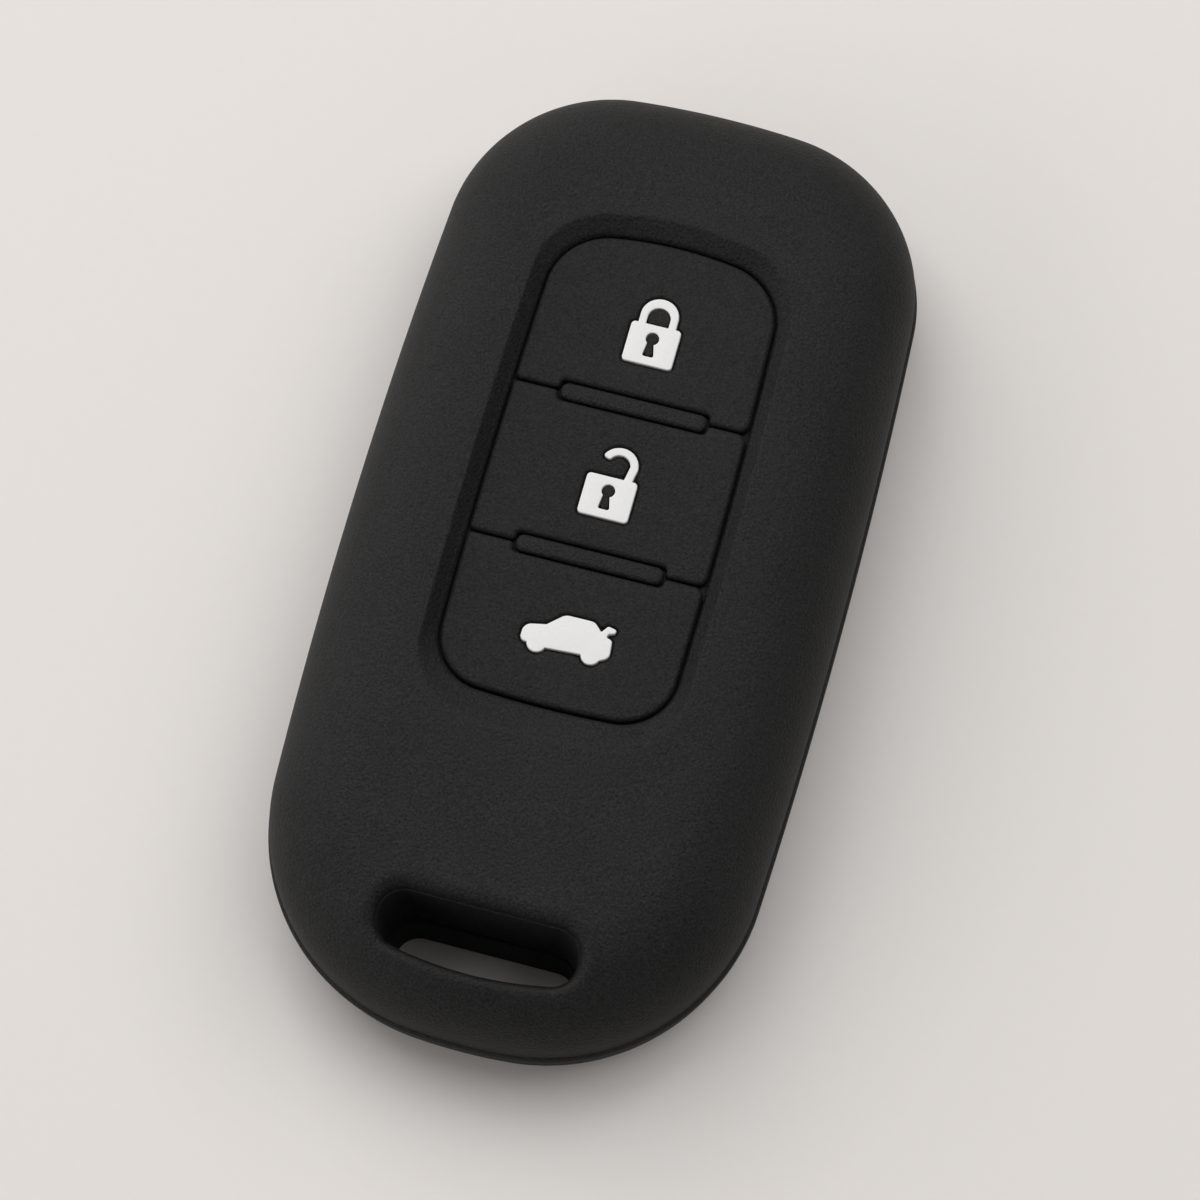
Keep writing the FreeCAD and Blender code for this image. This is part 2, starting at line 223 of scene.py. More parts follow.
@dataclass(frozen=True)
class Pebble:
    """Closed outline of tangent arcs, the same on both sides of its long axis."""

    width: float
    top: float
    bottom: float
    widest: float
    side_radius: float
    top_radius: float
    top_corner_run: float
    bottom_radius: float
    bottom_corner_run: float
    counts: Counts

    def _corner(self, end: Point, end_turn: float, end_radius: float, side: Point) -> tuple[Point, float]:
        """Centre and radius of the arc that leaves an end arc and runs into a side arc.

        Args:
            end: centre of the end arc.
            end_turn: angle at which the end arc stops.
            end_radius: radius of the end arc.
            side: centre of the side arc.

        Returns:
            The corner arc's centre and radius.
        """
        inward = Vector((-math.cos(end_turn), -math.sin(end_turn)))
        leave = Vector(end) - inward * end_radius
        offset = leave - Vector(side)
        slack = self.side_radius ** 2 - offset.length_squared
        radius = slack / (2 * (self.side_radius + offset.dot(inward)))
        return tuple(leave + inward * radius), radius

    def arcs(self) -> list[tuple[Point, float, float, float, int]]:
        """Each arc's centre, radius, end angles and point count, anticlockwise from the bottom."""
        half = self.width / 2
        top = (0.0, self.top - self.top_radius)
        bottom = (0.0, self.bottom + self.bottom_radius)
        side = (half - self.side_radius, self.widest)
        top_turn = math.acos((half - self.top_corner_run) / self.top_radius)
        bottom_turn = -math.acos((half - self.bottom_corner_run) / self.bottom_radius)
        upper, upper_radius = self._corner(top, top_turn, self.top_radius, side)
        lower, lower_radius = self._corner(bottom, bottom_turn, self.bottom_radius, side)
        lower_turn = math.atan2(lower[1] - side[1], lower[0] - side[0])
        upper_turn = math.atan2(upper[1] - side[1], upper[0] - side[0])
        right = [
            (bottom, self.bottom_radius, -QUARTER_TURN, bottom_turn, self.counts[0]),
            (lower, lower_radius, bottom_turn, lower_turn, self.counts[1]),
            (side, self.side_radius, lower_turn, upper_turn, self.counts[2]),
            (upper, upper_radius, upper_turn, top_turn, self.counts[3]),
            (top, self.top_radius, top_turn, QUARTER_TURN, self.counts[4]),
        ]
        left = [((-centre[0], centre[1]), radius, HALF_TURN - end, HALF_TURN - start, count)
                for centre, radius, start, end, count in reversed(right)]
        return right + left

    def loop(self, inset: float = 0.0) -> Loop:
        """Outline drawn in by an inset, with as many points at every inset."""
        points: Loop = []
        for centre, radius, start, end, count in self.arcs():
            points += arc(centre, radius - inset, start, end, count)
        return points

    def side_at(self, y: float, inset: float) -> float:
        """Half width of the drawn-in outline at a place on its side arc."""
        reach = math.sqrt((self.side_radius - inset) ** 2 - (y - self.widest) ** 2)
        return self.width / 2 - self.side_radius + reach

    def insets(self, points: np.ndarray) -> np.ndarray:
        """How far inside the outline each point lies, in plan."""
        least = np.full(len(points), np.inf)
        for centre, radius, start, end, _ in self.arcs():
            across, along = (points[:, :2] - np.array(centre)).T
            turns = np.mod(np.arctan2(along, across) - start + FAN_SLACK, 2 * HALF_TURN)
            fan = turns <= end - start + 2 * FAN_SLACK
            gap = radius - np.hypot(across, along)
            least = np.where(fan, np.minimum(least, gap), least)
        return least


class Scatter:
    """Points that keep a least distance from each other."""

    def __init__(self, gap: float) -> None:
        """Start with no points."""
        self.gap = gap
        self.kept: Loop = []
        self._cells: dict[tuple[int, int], Loop] = {}

    def _cell(self, point: Point) -> tuple[int, int]:
        """Square of the grid that a point is in."""
        return math.floor(point[0] / self.gap), math.floor(point[1] / self.gap)

    def _free(self, point: Point) -> bool:
        """Whether no point lies too near."""
        column, row = self._cell(point)
        near = [other for across in (-1, 0, 1) for along in (-1, 0, 1)
                for other in self._cells.get((column + across, row + along), ())]
        return all(math.dist(point, other) >= self.gap for other in near)

    def block(self, points: Iterable[Point]) -> None:
        """Keep later points away from these."""
        for point in points:
            self._cells.setdefault(self._cell(point), []).append(point)

    def add(self, points: Iterable[Point]) -> None:
        """Keep each point that lies near no other."""
        for point in points:
            if self._free(point):
                self.block([point])
                self.kept.append(point)

    def passing(self, test: Callable[[np.ndarray], np.ndarray]) -> Loop:
        """The kept points that pass a test, which is put to all of them at once."""
        return [point for point, passed in zip(self.kept, test(np.array(self.kept))) if passed]


def add_object(name: str, data: bpy.types.ID) -> bpy.types.Object:
    """New object of the scene that holds a mesh, a light or a camera."""
    made = bpy.data.objects.new(name, data)
    bpy.context.scene.collection.objects.link(made)
    return made


def face_outwards(mesh: bpy.types.Mesh) -> None:
    """Turn the faces of a closed mesh outwards."""
    work = bmesh.new()
    work.from_mesh(mesh)
    bmesh.ops.recalc_face_normals(work, faces=work.faces[:])
    work.to_mesh(mesh)
    work.free()


def enclosed(triangles: Sequence[list[int]], fences: set[frozenset[int]]) -> list[list[int]]:
    """Triangles that lie behind an odd number of fences, counted from outside.

    Args:
        triangles: the triangles of a plan, out to its convex hull.
        fences: the sides that part the inside from the outside.

    Returns:
        The triangles of the inside.
    """
    sides = [[frozenset(pair) for pair in zip(corners, corners[1:] + corners[:1])]
             for corners in triangles]
    users: dict[frozenset[int], list[int]] = {}
    for number, three in enumerate(sides):
        for side in three:
            users.setdefault(side, []).append(number)
    inside: dict[int, bool] = {}
    waiting = [(near[0], side in fences) for side, near in users.items() if len(near) == 1]
    while waiting:
        number, state = waiting.pop()
        if number not in inside:
            inside[number] = state
            waiting += [(other, state != (side in fences))
                        for side in sides[number] for other in users[side]]
    return [corners for number, corners in enumerate(triangles) if inside[number]]


class Skin:
    """Vertices and faces of one piece in the making, in millimetres."""

    def __init__(self) -> None:
        """Start with nothing."""
        self.places: list[tuple[float, float, float]] = []
        self.lifts: list[float] = []
        self.faces: list[tuple[int, ...]] = []

    def ring(self, loop: Loop, height: float, lift: float = 0.0) -> list[int]:
        """Add a loop of vertices.

        Args:
            loop: places in plan.
            height: level of the loop, or its drop where it is lifted.
            lift: share of the moulding rule's height that is added later.

        Returns:
            The new vertices' numbers.
        """
        first = len(self.places)
        self.places += [(x, y, height) for x, y in loop]
        self.lifts += [lift] * len(loop)
        return list(range(first, len(self.places)))

    def rounding(self, trace: Callable[[float], Loop], level: float, run: float, drop: float, count: int,
                 lift: float = 0.0) -> list[list[int]]:
        """Add the loops of a quarter-round edge, from its wall to its crest.

        Args:
            trace: the edge's loop at each inset from the wall.
            level: height of the crest.
            run: inset of the crest.
            drop: how far below the crest the wall ends; a negative drop turns the edge over.
            count: how many steps the edge has.
            lift: the loops' share of the moulding rule's height.

        Returns:
            The new vertices' numbers, loop by loop.
        """
        turns = [QUARTER_TURN * share for share in shares(count)]
        return [self.ring(trace(run * (1 - math.cos(turn))), level - drop * (1 - math.sin(turn)), lift)
                for turn in turns]

    def plan(self, ring: Sequence[int]) -> Loop:
        """Places of a ring's vertices, in plan."""
        return [self.places[number][:2] for number in ring]

    def bridge(self, rings: Sequence[list[int]]) -> tuple[list[int], list[int]]:
        """Join each ring to the next with four-sided faces, and give the first and the last."""
        for lower, upper in zip(rings, rings[1:]):
            for index in range(len(lower)):
                self.faces.append((lower[index - 1], lower[index], upper[index], upper[index - 1]))
        return rings[0], rings[-1]

    def fill(self, outer: list[int], holes: Sequence[list[int]] = (), inner: Sequence[int] = ()) -> None:
        """Close the space between an outer ring and its holes.

        Args:
            outer: numbers of the ring round the space.
            holes: numbers of each ring that stays open.
            inner: numbers of loose vertices to take in.
        """
        numbers = [*outer, *(number for hole in holes for number in hole), *inner]
        where = {number: index for index, number in enumerate(numbers)}
        flat = [Vector(place) for place in self.plan(numbers)]
        edges = [(where[start], where[end]) for ring in (outer, *holes)
                 for start, end in zip(ring[-1:] + ring[:-1], ring)]
        _, sides, triangles, sources, origins, _ = delaunay_2d_cdt(
            flat, edges, [], OUT_TO_HULL, WELD, True)
        fences = {frozenset(side) for side, origin in zip(sides, origins) if origin}
        self.faces += [tuple(numbers[sources[index][0]] for index in triangle)
                       for triangle in enclosed(triangles, fences)]

    def piece(self, name: str) -> bpy.types.Object:
        """Make the closed mesh, in metres, with its faces outwards.

        Args:
            name: the piece's name.

        Returns:
            The new object, in the scene.
        """
        mesh = bpy.data.meshes.new(name)
        mesh.from_pydata([[value * MM for value in place] for place in self.places], [], self.faces)
        face_outwards(mesh)
        return add_object(name, mesh)


# Node graphs

class Value:
    """A node's output that takes part in Python sums."""

    def __init__(self, graph: "Graph", socket: bpy.types.NodeSocket) -> None:
        """Wrap an output socket of a graph."""
        self.graph = graph
        self.socket = socket

    def _math(self, operation: str, first: Any, second: Any = 0.0) -> "Value":
        """Add a Math node on two values or numbers."""
        node = self.graph.node("ShaderNodeMath", {"operation": operation}, {0: first, 1: second})
        return Value(self.graph, node.outputs[0])

    def __add__(self, other: Any) -> "Value":
        """Sum."""
        return self._math("ADD", self, other)

    def __radd__(self, other: Any) -> "Value":
        """Sum with a number in front."""
        return self._math("ADD", other, self)

    def __sub__(self, other: Any) -> "Value":
        """Difference."""
        return self._math("SUBTRACT", self, other)

    def __rsub__(self, other: Any) -> "Value":
        """Difference from a number in front."""
        return self._math("SUBTRACT", other, self)

    def __mul__(self, other: Any) -> "Value":
        """Product."""
        return self._math("MULTIPLY", self, other)

    def __rmul__(self, other: Any) -> "Value":
        """Product with a number in front."""
        return self._math("MULTIPLY", other, self)

    def __truediv__(self, other: Any) -> "Value":
        """Quotient."""
        return self._math("DIVIDE", self, other)

    def __rtruediv__(self, other: Any) -> "Value":
        """Quotient of a number in front."""
        return self._math("DIVIDE", other, self)

    def at_least(self, floor: Any) -> "Value":
        """The larger of this and a floor."""
        return self._math("MAXIMUM", self, floor)

    def root(self) -> "Value":
        """Square root."""
        return self._math("SQRT", self)


class Graph:
    """Adds nodes to one node tree."""

    def __init__(self, tree: bpy.types.NodeTree) -> None:
        """Start on a tree."""
        self.tree = tree

    def node(self, kind: str, settings: Mapping[str, Any] | None = None,
             sockets: Mapping[str | int, Any] | None = None) -> bpy.types.Node:
        """Add a node.

        Args:
            kind: the node's type.
            settings: its properties, which are set first.
            sockets: a value, or an output to link, for each input.

        Returns:
            The new node.
        """
        node = self.tree.nodes.new(kind)
        for name, setting in (settings or {}).items():
            setattr(node, name, setting)
        for key, given in (sockets or {}).items():
            self.feed(node.inputs[key], given)
        return node

    def feed(self, socket: bpy.types.NodeSocket, given: Any) -> None:
        """Link an output to an input, or set the input's value."""
        if isinstance(given, Value):
            self.tree.links.new(given.socket, socket)
        elif isinstance(given, bpy.types.NodeSocket):
            self.tree.links.new(given, socket)
        else:
            socket.default_value = given

    def value(self, kind: str, settings: Mapping[str, Any] | None = None,
              sockets: Mapping[str | int, Any] | None = None, output: str | int = 0) -> Value:
        """Add a node and take one of its outputs, ready for sums."""
        return Value(self, self.node(kind, settings, sockets).outputs[output])


class NodeTool:
    """Geometry Nodes tree that makes a piece from named sizes and leaves a plain mesh."""

    def __init__(self, name: str, sizes: Mapping[str, float]) -> None:
        """Start a tree with a geometry input, an input for each size and one for the finish.

        Args:
            name: the tree's name.
            sizes: each size input's name and value, in metres.
        """
        self.sizes = sizes
        self.tree = bpy.data.node_groups.new(name, "GeometryNodeTree")
        self.tree.interface.new_socket("Geometry", in_out="INPUT", socket_type="NodeSocketGeometry")
        for size in sizes:
            self.tree.interface.new_socket(size, in_out="INPUT", socket_type="NodeSocketFloat")
        self.tree.interface.new_socket("Finish", in_out="INPUT", socket_type="NodeSocketMaterial")
        self.tree.interface.new_socket("Geometry", in_out="OUTPUT", socket_type="NodeSocketGeometry")
        self.graph = Graph(self.tree)
        self.entry = self.graph.node("NodeGroupInput")

    def size(self, name: str) -> Value:
        """One of the size inputs."""
        return Value(self.graph, self.entry.outputs[name])

    def end(self, geometry: bpy.types.NodeSocket) -> None:
        """Realise what the tree made and give it its finish."""
        real = self.graph.node("GeometryNodeRealizeInstances", None, {"Geometry": geometry})
        dressed = self.graph.node("GeometryNodeSetMaterial", None, {
            "Geometry": real.outputs[0], "Material": self.entry.outputs["Finish"]})
        self.graph.node("NodeGroupOutput", None, {"Geometry": dressed.outputs[0]})

    def run(self, piece: bpy.types.Object, finish: bpy.types.Material) -> None:
        """Run the tree on a piece and keep the result as its plain mesh.

        Args:
            piece: the object to work on.
            finish: its material.
        """
        modifier = piece.modifiers.new(self.tree.name, "NODES")
        modifier.node_group = self.tree
        given = {**self.sizes, "Finish": finish}
        for item in self.tree.interface.items_tree:
            if item.in_out == "INPUT" and item.name in given:
                modifier[item.identifier] = given[item.name]
        graph = bpy.context.evaluated_depsgraph_get()
        mesh = bpy.data.meshes.new_from_object(piece.evaluated_get(graph))
        piece.modifiers.remove(modifier)
        piece.data = mesh
        mesh.name = piece.name


# Finishes

NOISE_MIDDLE = 0.5
MIX_FACTOR, MIX_LOW, MIX_HIGH = 0, 6, 7
MIX_COLOUR = 2


@dataclass(frozen=True)
class Surface:
    """What every finish has: a name, a colour and a drift of its tone."""

    name: str
    colour: Colour
    drift: float

    def start(self) -> tuple[bpy.types.Material, Graph, Value]:
        """New material, the graph that fills it and its object coordinates."""
        made = bpy.data.materials.new(self.name)
        made.use_nodes = True
        made.node_tree.nodes.clear()
        graph = Graph(made.node_tree)
        return made, graph, graph.value("ShaderNodeTexCoord", output="Object")

    def tone(self, graph: Graph, factor: Value, clamped: bool) -> Value:
        """Colour between the two ends of the drift, clamped to them or not."""
        low, high = ((*(part * (1 + way * self.drift) for part in self.colour), 1.0) for way in (-1, 1))
        return graph.value("ShaderNodeMix", {"data_type": "RGBA", "clamp_factor": clamped},
                           {MIX_FACTOR: factor, MIX_LOW: low, MIX_HIGH: high}, MIX_COLOUR)

    @staticmethod
    def end(graph: Graph, inputs: Mapping[str, Any]) -> None:
        """Shade the surface with these inputs and close the graph."""
        shader = graph.node("ShaderNodeBsdfPrincipled", None, inputs)
        graph.node("ShaderNodeOutputMaterial", None, {"Surface": shader.outputs[0]})


@dataclass(frozen=True)
class Silicone(Surface):
    """Moulded silicone: a tone that drifts a little, fine grain and a soft sheen."""

    roughness: float
    specular: float
    grain: float
    grain_depth: float
    cloud: float = 9.0
    cloud_weight: float = 0.7
    cloud_detail: float = 4.0
    grain_detail: float = 2.0
    dust_share: float = 0.7
    dust_weight: float = 2.6
    dust_detail: float = 1.0
    sheen_drift: float = 0.12
    lump_roughness: float = 0.55

    def material(self) -> bpy.types.Material:
        """Build the procedural material."""
        made, graph, place = self.start()
        clouds = self._noise(graph, place, self.cloud, self.cloud_detail) - NOISE_MIDDLE
        dust = self._noise(graph, place, self.grain * self.dust_share, self.dust_detail) - NOISE_MIDDLE
        grain = self._noise(graph, place, self.grain, self.grain_detail)
        factor = NOISE_MIDDLE + clouds * self.cloud_weight + dust * self.dust_weight
        bump = graph.value("ShaderNodeBump", None, {
            "Strength": 1.0, "Distance": self.grain_depth * MM, "Height": grain})
        self.end(graph, {
            "Base Color": self.tone(graph, factor, False), "Specular IOR Level": self.specular,
            "Roughness": self.roughness + clouds * self.sheen_drift, "Normal": bump})
        return made

    def _noise(self, graph: Graph, place: Value, size: float, detail: float) -> Value:
        """Soft noise whose lumps have a size in millimetres."""
        return graph.value("ShaderNodeTexNoise", None, {
            "Vector": place, "Scale": 1 / (size * MM), "Detail": detail,
            "Roughness": self.lump_roughness}, "Fac")


@dataclass(frozen=True)
class Paper(Surface):
    """Pale studio sweep."""

    fibre_scale: float = 900.0
    fibre_detail: float = 4.0
    roughness: float = 0.9
    specular: float = 0.1

    def material(self) -> bpy.types.Material:
        """Build the procedural material."""
        made, graph, place = self.start()
        fibre = graph.value("ShaderNodeTexNoise", None, {
            "Vector": place, "Scale": self.fibre_scale, "Detail": self.fibre_detail}, "Fac")
        self.end(graph, {"Base Color": self.tone(graph, fibre, True), "Roughness": self.roughness,
                         "Specular IOR Level": self.specular})
        return made


class Finish(Enum):
    """Finishes of the cover, named as the record's slots."""

    COVER = Silicone("cover_silicone", (0.0138, 0.0138, 0.0138), 0.45, 0.6, 0.13, 0.24, 0.12)
    BUTTON = Silicone("button_silicone", (0.0128, 0.0128, 0.0128), 0.45, 0.6, 0.13, 0.22, 0.09)
    WHITE = Silicone("white_silicone", (0.73, 0.725, 0.72), 0.02, 0.5, 0.3, 0.3, 0.004)


class Dresser:
    """Makes each finish once and dresses each piece to stand in for its solids."""

    def __init__(self) -> None:
        """Start with no materials."""
        self._made: dict[Finish, bpy.types.Material] = {}

    def material(self, finish: Finish) -> bpy.types.Material:
        """The one material of a finish."""
        if finish not in self._made:
            self._made[finish] = finish.value.material()
        return self._made[finish]

    def hand_in(self, piece: bpy.types.Object, finish: Finish, body: str,
                nodes: Sequence[str]) -> bpy.types.Object:
        """Dress a piece and let it stand for its solids.

        Args:
            piece: the finished object.
            finish: its finish.
            body: the body that it moves with.
            nodes: the solids that it replaces.

        Returns:
            The same object.
        """
        mesh = piece.data
        mesh.materials.clear()
        mesh.materials.append(self.material(finish))
        mesh.shade_smooth()
        mesh.set_sharp_from_angle(angle=SMOOTH_ANGLE)
        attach(piece, body)
        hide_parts(*nodes)
        return piece


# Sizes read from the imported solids

@dataclass(frozen=True)
class Solid:
    """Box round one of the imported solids, in millimetres."""

    low: Vector
    high: Vector

    @classmethod
    def of(cls, node: str) -> "Solid":
        """Box of a named solid."""
        low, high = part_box(node)
        return cls(low / MM, high / MM)

    @property
    def middle(self) -> Vector:
        """Middle of the box."""
        return (self.low + self.high) / 2

    @property
    def size(self) -> Vector:
        """Size of the box."""
        return self.high - self.low


FRONT = Solid.of("front_shell")
WEB = Solid.of("button_web")
LOCK = Solid.of("lock_button")
UPPER_BAR = Solid.of("upper_divider_bar")
LOWER_BAR = Solid.of("lower_divider_bar")


@dataclass(frozen=True)
class RingSlot:
    """Key-ring slot through the tail: straight far wall, round ends, near wall bowed with the tail."""

    tail: float = 3.9
    width: float = 4.85
    seam_length: float = 14.8
    face_length: float = 15.75
    corner: float = 2.05
    bow: float = 30.0
    rim: float = 1.15
    rim_ledge: float = 0.14
    seam_step: float = 0.15
    seam_soft: float = 0.06
    back_rim: float = 0.2
    end_count: int = 6
    corner_count: int = 14
    far_count: int = 44

    @property
    def near(self) -> float:
        """Place of the wall next to the tail's end."""
        return FRONT.low.y + self.tail

    @property
    def far(self) -> float:
        """Place of the wall next to the pocket."""
        return self.near + self.width

    def loop(self, length: float, grow: float = 0.0) -> Loop:
        """Slot in plan, grown by an outset.

        Args:
            length: end to end.
            grow: how far the loop stands outside the walls.

        Returns:
            The loop, anticlockwise, with as many points at every length.
        """
        radius = self.corner + grow
        reach = length / 2 - self.corner
        bow_middle = (0.0, self.near + self.bow)
        near = (reach, bow_middle[1] - math.sqrt((self.bow - self.corner) ** 2 - reach ** 2))
        far = (reach, self.far - self.corner)
        turn = math.atan2(near[1] - bow_middle[1], near[0])
        left_near, left_far = (-reach, near[1]), (-reach, far[1])
        return [
            *arc(near, radius, turn, 0.0, self.corner_count),
            *line((reach + radius, near[1]), (reach + radius, far[1]), self.end_count),
            *arc(far, radius, 0.0, QUARTER_TURN, self.corner_count),
            *line((reach, far[1] + radius), (-reach, far[1] + radius), self.far_count),
            *arc(left_far, radius, QUARTER_TURN, HALF_TURN, self.corner_count),
            *line((-reach - radius, far[1]), (-reach - radius, near[1]), self.end_count),
            *arc(left_near, radius, HALF_TURN, HALF_TURN - turn, self.corner_count),
            *arc(bow_middle, self.bow + grow, HALF_TURN - turn, 2 * HALF_TURN + turn, self.far_count),
        ]


@dataclass(frozen=True)
class Layout:
    """Plan of the whole cover: outlines, levels and divider lines, in millimetres."""

    slot: RingSlot = RingSlot()
    wall: float = 2.0
    widest: float = 2.47
    side_radius: float = 525.0
    top_radius: float = 81.0
    top_run: float = 13.16
    bottom_radius: float = 44.4
    bottom_run: float = 16.14
    cover_points: Counts = (16, 56, 100, 48, 20)
    pocket_bottom_radius: float = 120.0
    pocket_bottom_run: float = 8.25
    pocket_points: Counts = (20, 30, 80, 40, 20)
    panel_widest: float = 3.315
    panel_side_radius: float = 555.0
    panel_top_radius: float = 32.0
    panel_top_run: float = 4.65
    panel_bottom_radius: float = 85.0
    panel_bottom_run: float = 4.28
    panel_points: Counts = (16, 26, 80, 28, 16)
    recess_sides: float = 2.7
    recess_above: float = 1.85
    recess_below: float = 3.3
    recess_top_radius: float = 25.0
    recess_top_run: float = 4.86
    recess_bottom_radius: float = 60.0
    recess_bottom_run: float = 5.86
    solid_groove: float = 0.35
    groove: float = 0.14
    web_flange: float = 1.2
    seam: float = FRONT.low.z
    pad_level: float = LOCK.high.z
    groove_floor: float = WEB.high.z
    roof: float = WEB.low.z
    boss_level: float = LOCK.low.z
    dividers: tuple[float, float] = (LOWER_BAR.middle.y, UPPER_BAR.middle.y)
    bar_line: float = UPPER_BAR.middle.x

    @property
    def bar_half(self) -> float:
        """Half the length of a divider bar, with the finer groove round it."""
        return (UPPER_BAR.size.x + self.solid_groove - self.groove) / 2

    @property
    def bar_thick(self) -> float:
        """Width of a divider bar, with the finer groove round it."""
        return UPPER_BAR.size.y + self.solid_groove - self.groove

    @property
    def cover(self) -> Pebble:
        """Outside of the cover."""
        return Pebble(FRONT.size.x, FRONT.high.y, FRONT.low.y, self.widest, self.side_radius,
                      self.top_radius, self.top_run, self.bottom_radius, self.bottom_run, self.cover_points)

    @property
    def pocket(self) -> Pebble:
        """Inside of the cover, round the fob."""
        wall = self.wall
        reach = FRONT.size.x / 2 - self.top_run
        top_run = self.top_run - wall * (1 - reach / self.top_radius)
        return Pebble(FRONT.size.x - 2 * wall, FRONT.high.y - wall, self.slot.far + wall, self.widest,
                      self.side_radius - wall, self.top_radius - wall, top_run, self.pocket_bottom_radius,
                      self.pocket_bottom_run, self.pocket_points)

    @property
    def panel(self) -> Pebble:
        """Button panel, to the middle of the groove round the pads."""
        flange = self.web_flange
        return Pebble(WEB.size.x - 2 * flange, WEB.high.y - flange, WEB.low.y + flange, self.panel_widest,
                      self.panel_side_radius, self.panel_top_radius, self.panel_top_run,
                      self.panel_bottom_radius, self.panel_bottom_run, self.panel_points)

    @property
    def recess(self) -> Pebble:
        """Upper edge of the recess round the panel."""
        panel = self.panel
        return Pebble(panel.width + self.recess_sides, panel.top + self.recess_above,
                      panel.bottom - self.recess_below, panel.widest, panel.side_radius,
                      self.recess_top_radius, self.recess_top_run, self.recess_bottom_radius,
                      self.recess_bottom_run, panel.counts)


# Sub-assemblies

MOULD_GUIDES = ("inset", "lift")


@dataclass
class MouldedShell:
    """What both halves share: the outline, the slot and the rule that lifts a flat skin."""

    layout: Layout
    dresser: Dresser
    skin: Skin = field(default_factory=Skin)
    seam_chamfer: float = 0.05
    edge_steps: int = 14
    side_steps: int = 5

    def edge_insets(self, radius: float, share: float) -> list[float]:
        """Insets of the rings that go over a share of a rounded edge, from the outline inwards."""
        turns = [QUARTER_TURN * share * step for step in shares(self.edge_steps)]
        return [radius * (1 - math.cos(turn)) for turn in turns]

    def side(self, foot: float, insets: Sequence[float]) -> list[list[int]]:
        """Rings up the side from its foot, then over the rounded edge at each inset."""
        cover, skin = self.layout.cover, self.skin
        rises = shares(self.side_steps)[:-1]
        rings = [skin.ring(cover.loop(), foot * (1 - rise), rise) for rise in rises]
        return rings + [skin.ring(cover.loop(inset), 0.0, 1.0) for inset in insets]

    def moulding_rule(self, crown: float, across: float, along: float, edge: float, way: float) -> NodeTool:
        """Tree that lifts a flat skin to a face that is domed both ways, with a rounded edge.

        Args:
            crown: height of the face's middle.
            across: radius of the face's arc across the cover.
            along: radius of the face's arc along the cover.
            edge: radius of the rounded edge.
            way: 1 for a face that falls to its edge, -1 for one that rises to it.

        Returns:
            The tree, ready to run.
        """
        tool = NodeTool("moulding_rule", {
            "Crown": crown * MM, "Arc Across": across * MM, "Arc Along": along * MM,
            "Edge Radius": edge * MM, "Way": way})
        graph = tool.graph
        position = graph.value("GeometryNodeInputPosition")
        parts = graph.node("ShaderNodeSeparateXYZ", None, {0: position})
        x, y, z = (Value(graph, output) for output in parts.outputs)
        kind = {"data_type": "FLOAT"}
        inset, lift = (graph.value("GeometryNodeInputNamedAttribute", kind, {"Name": guide})
                       for guide in MOULD_GUIDES)
        radius = tool.size("Edge Radius")
        short = (radius - inset).at_least(0.0)
        edge_fall = radius - (radius * radius - short * short).at_least(0.0).root()
        dome_fall = x * x / (2 * tool.size("Arc Across")) + y * y / (2 * tool.size("Arc Along"))
        height = tool.size("Crown") - tool.size("Way") * (edge_fall + dome_fall)
        lifted = graph.value("ShaderNodeCombineXYZ", None, {0: x, 1: y, 2: z + lift * height})
        moved = graph.node("GeometryNodeSetPosition", None, {
            "Geometry": tool.entry.outputs["Geometry"], "Position": lifted})
        tool.end(moved.outputs[0])
        return tool

    def mould(self, node: str, rule: NodeTool) -> list[bpy.types.Object]:
        """Run the moulding rule on the shell's flat skin and hand the piece in.

        Args:
            node: the solid that the piece stands for.
            rule: the tree that lifts the skin.

        Returns:
            The moulded piece, alone in a list.
        """
        piece = self.skin.piece(node + "_skin")
        insets = np.maximum(self.layout.cover.insets(np.array(self.skin.places)), 0.0) * MM
        for guide, values in zip(MOULD_GUIDES, (insets, np.array(self.skin.lifts))):
            attribute = piece.data.attributes.new(guide, "FLOAT", "POINT")
            attribute.data.foreach_set("value", values.astype(np.float32))
        rule.run(piece, self.dresser.material(Finish.COVER))
        for guide in MOULD_GUIDES:
            piece.data.attributes.remove(piece.data.attributes[guide])
        face_outwards(piece.data)
        return [self.dresser.hand_in(piece, Finish.COVER, "cover", [node])]


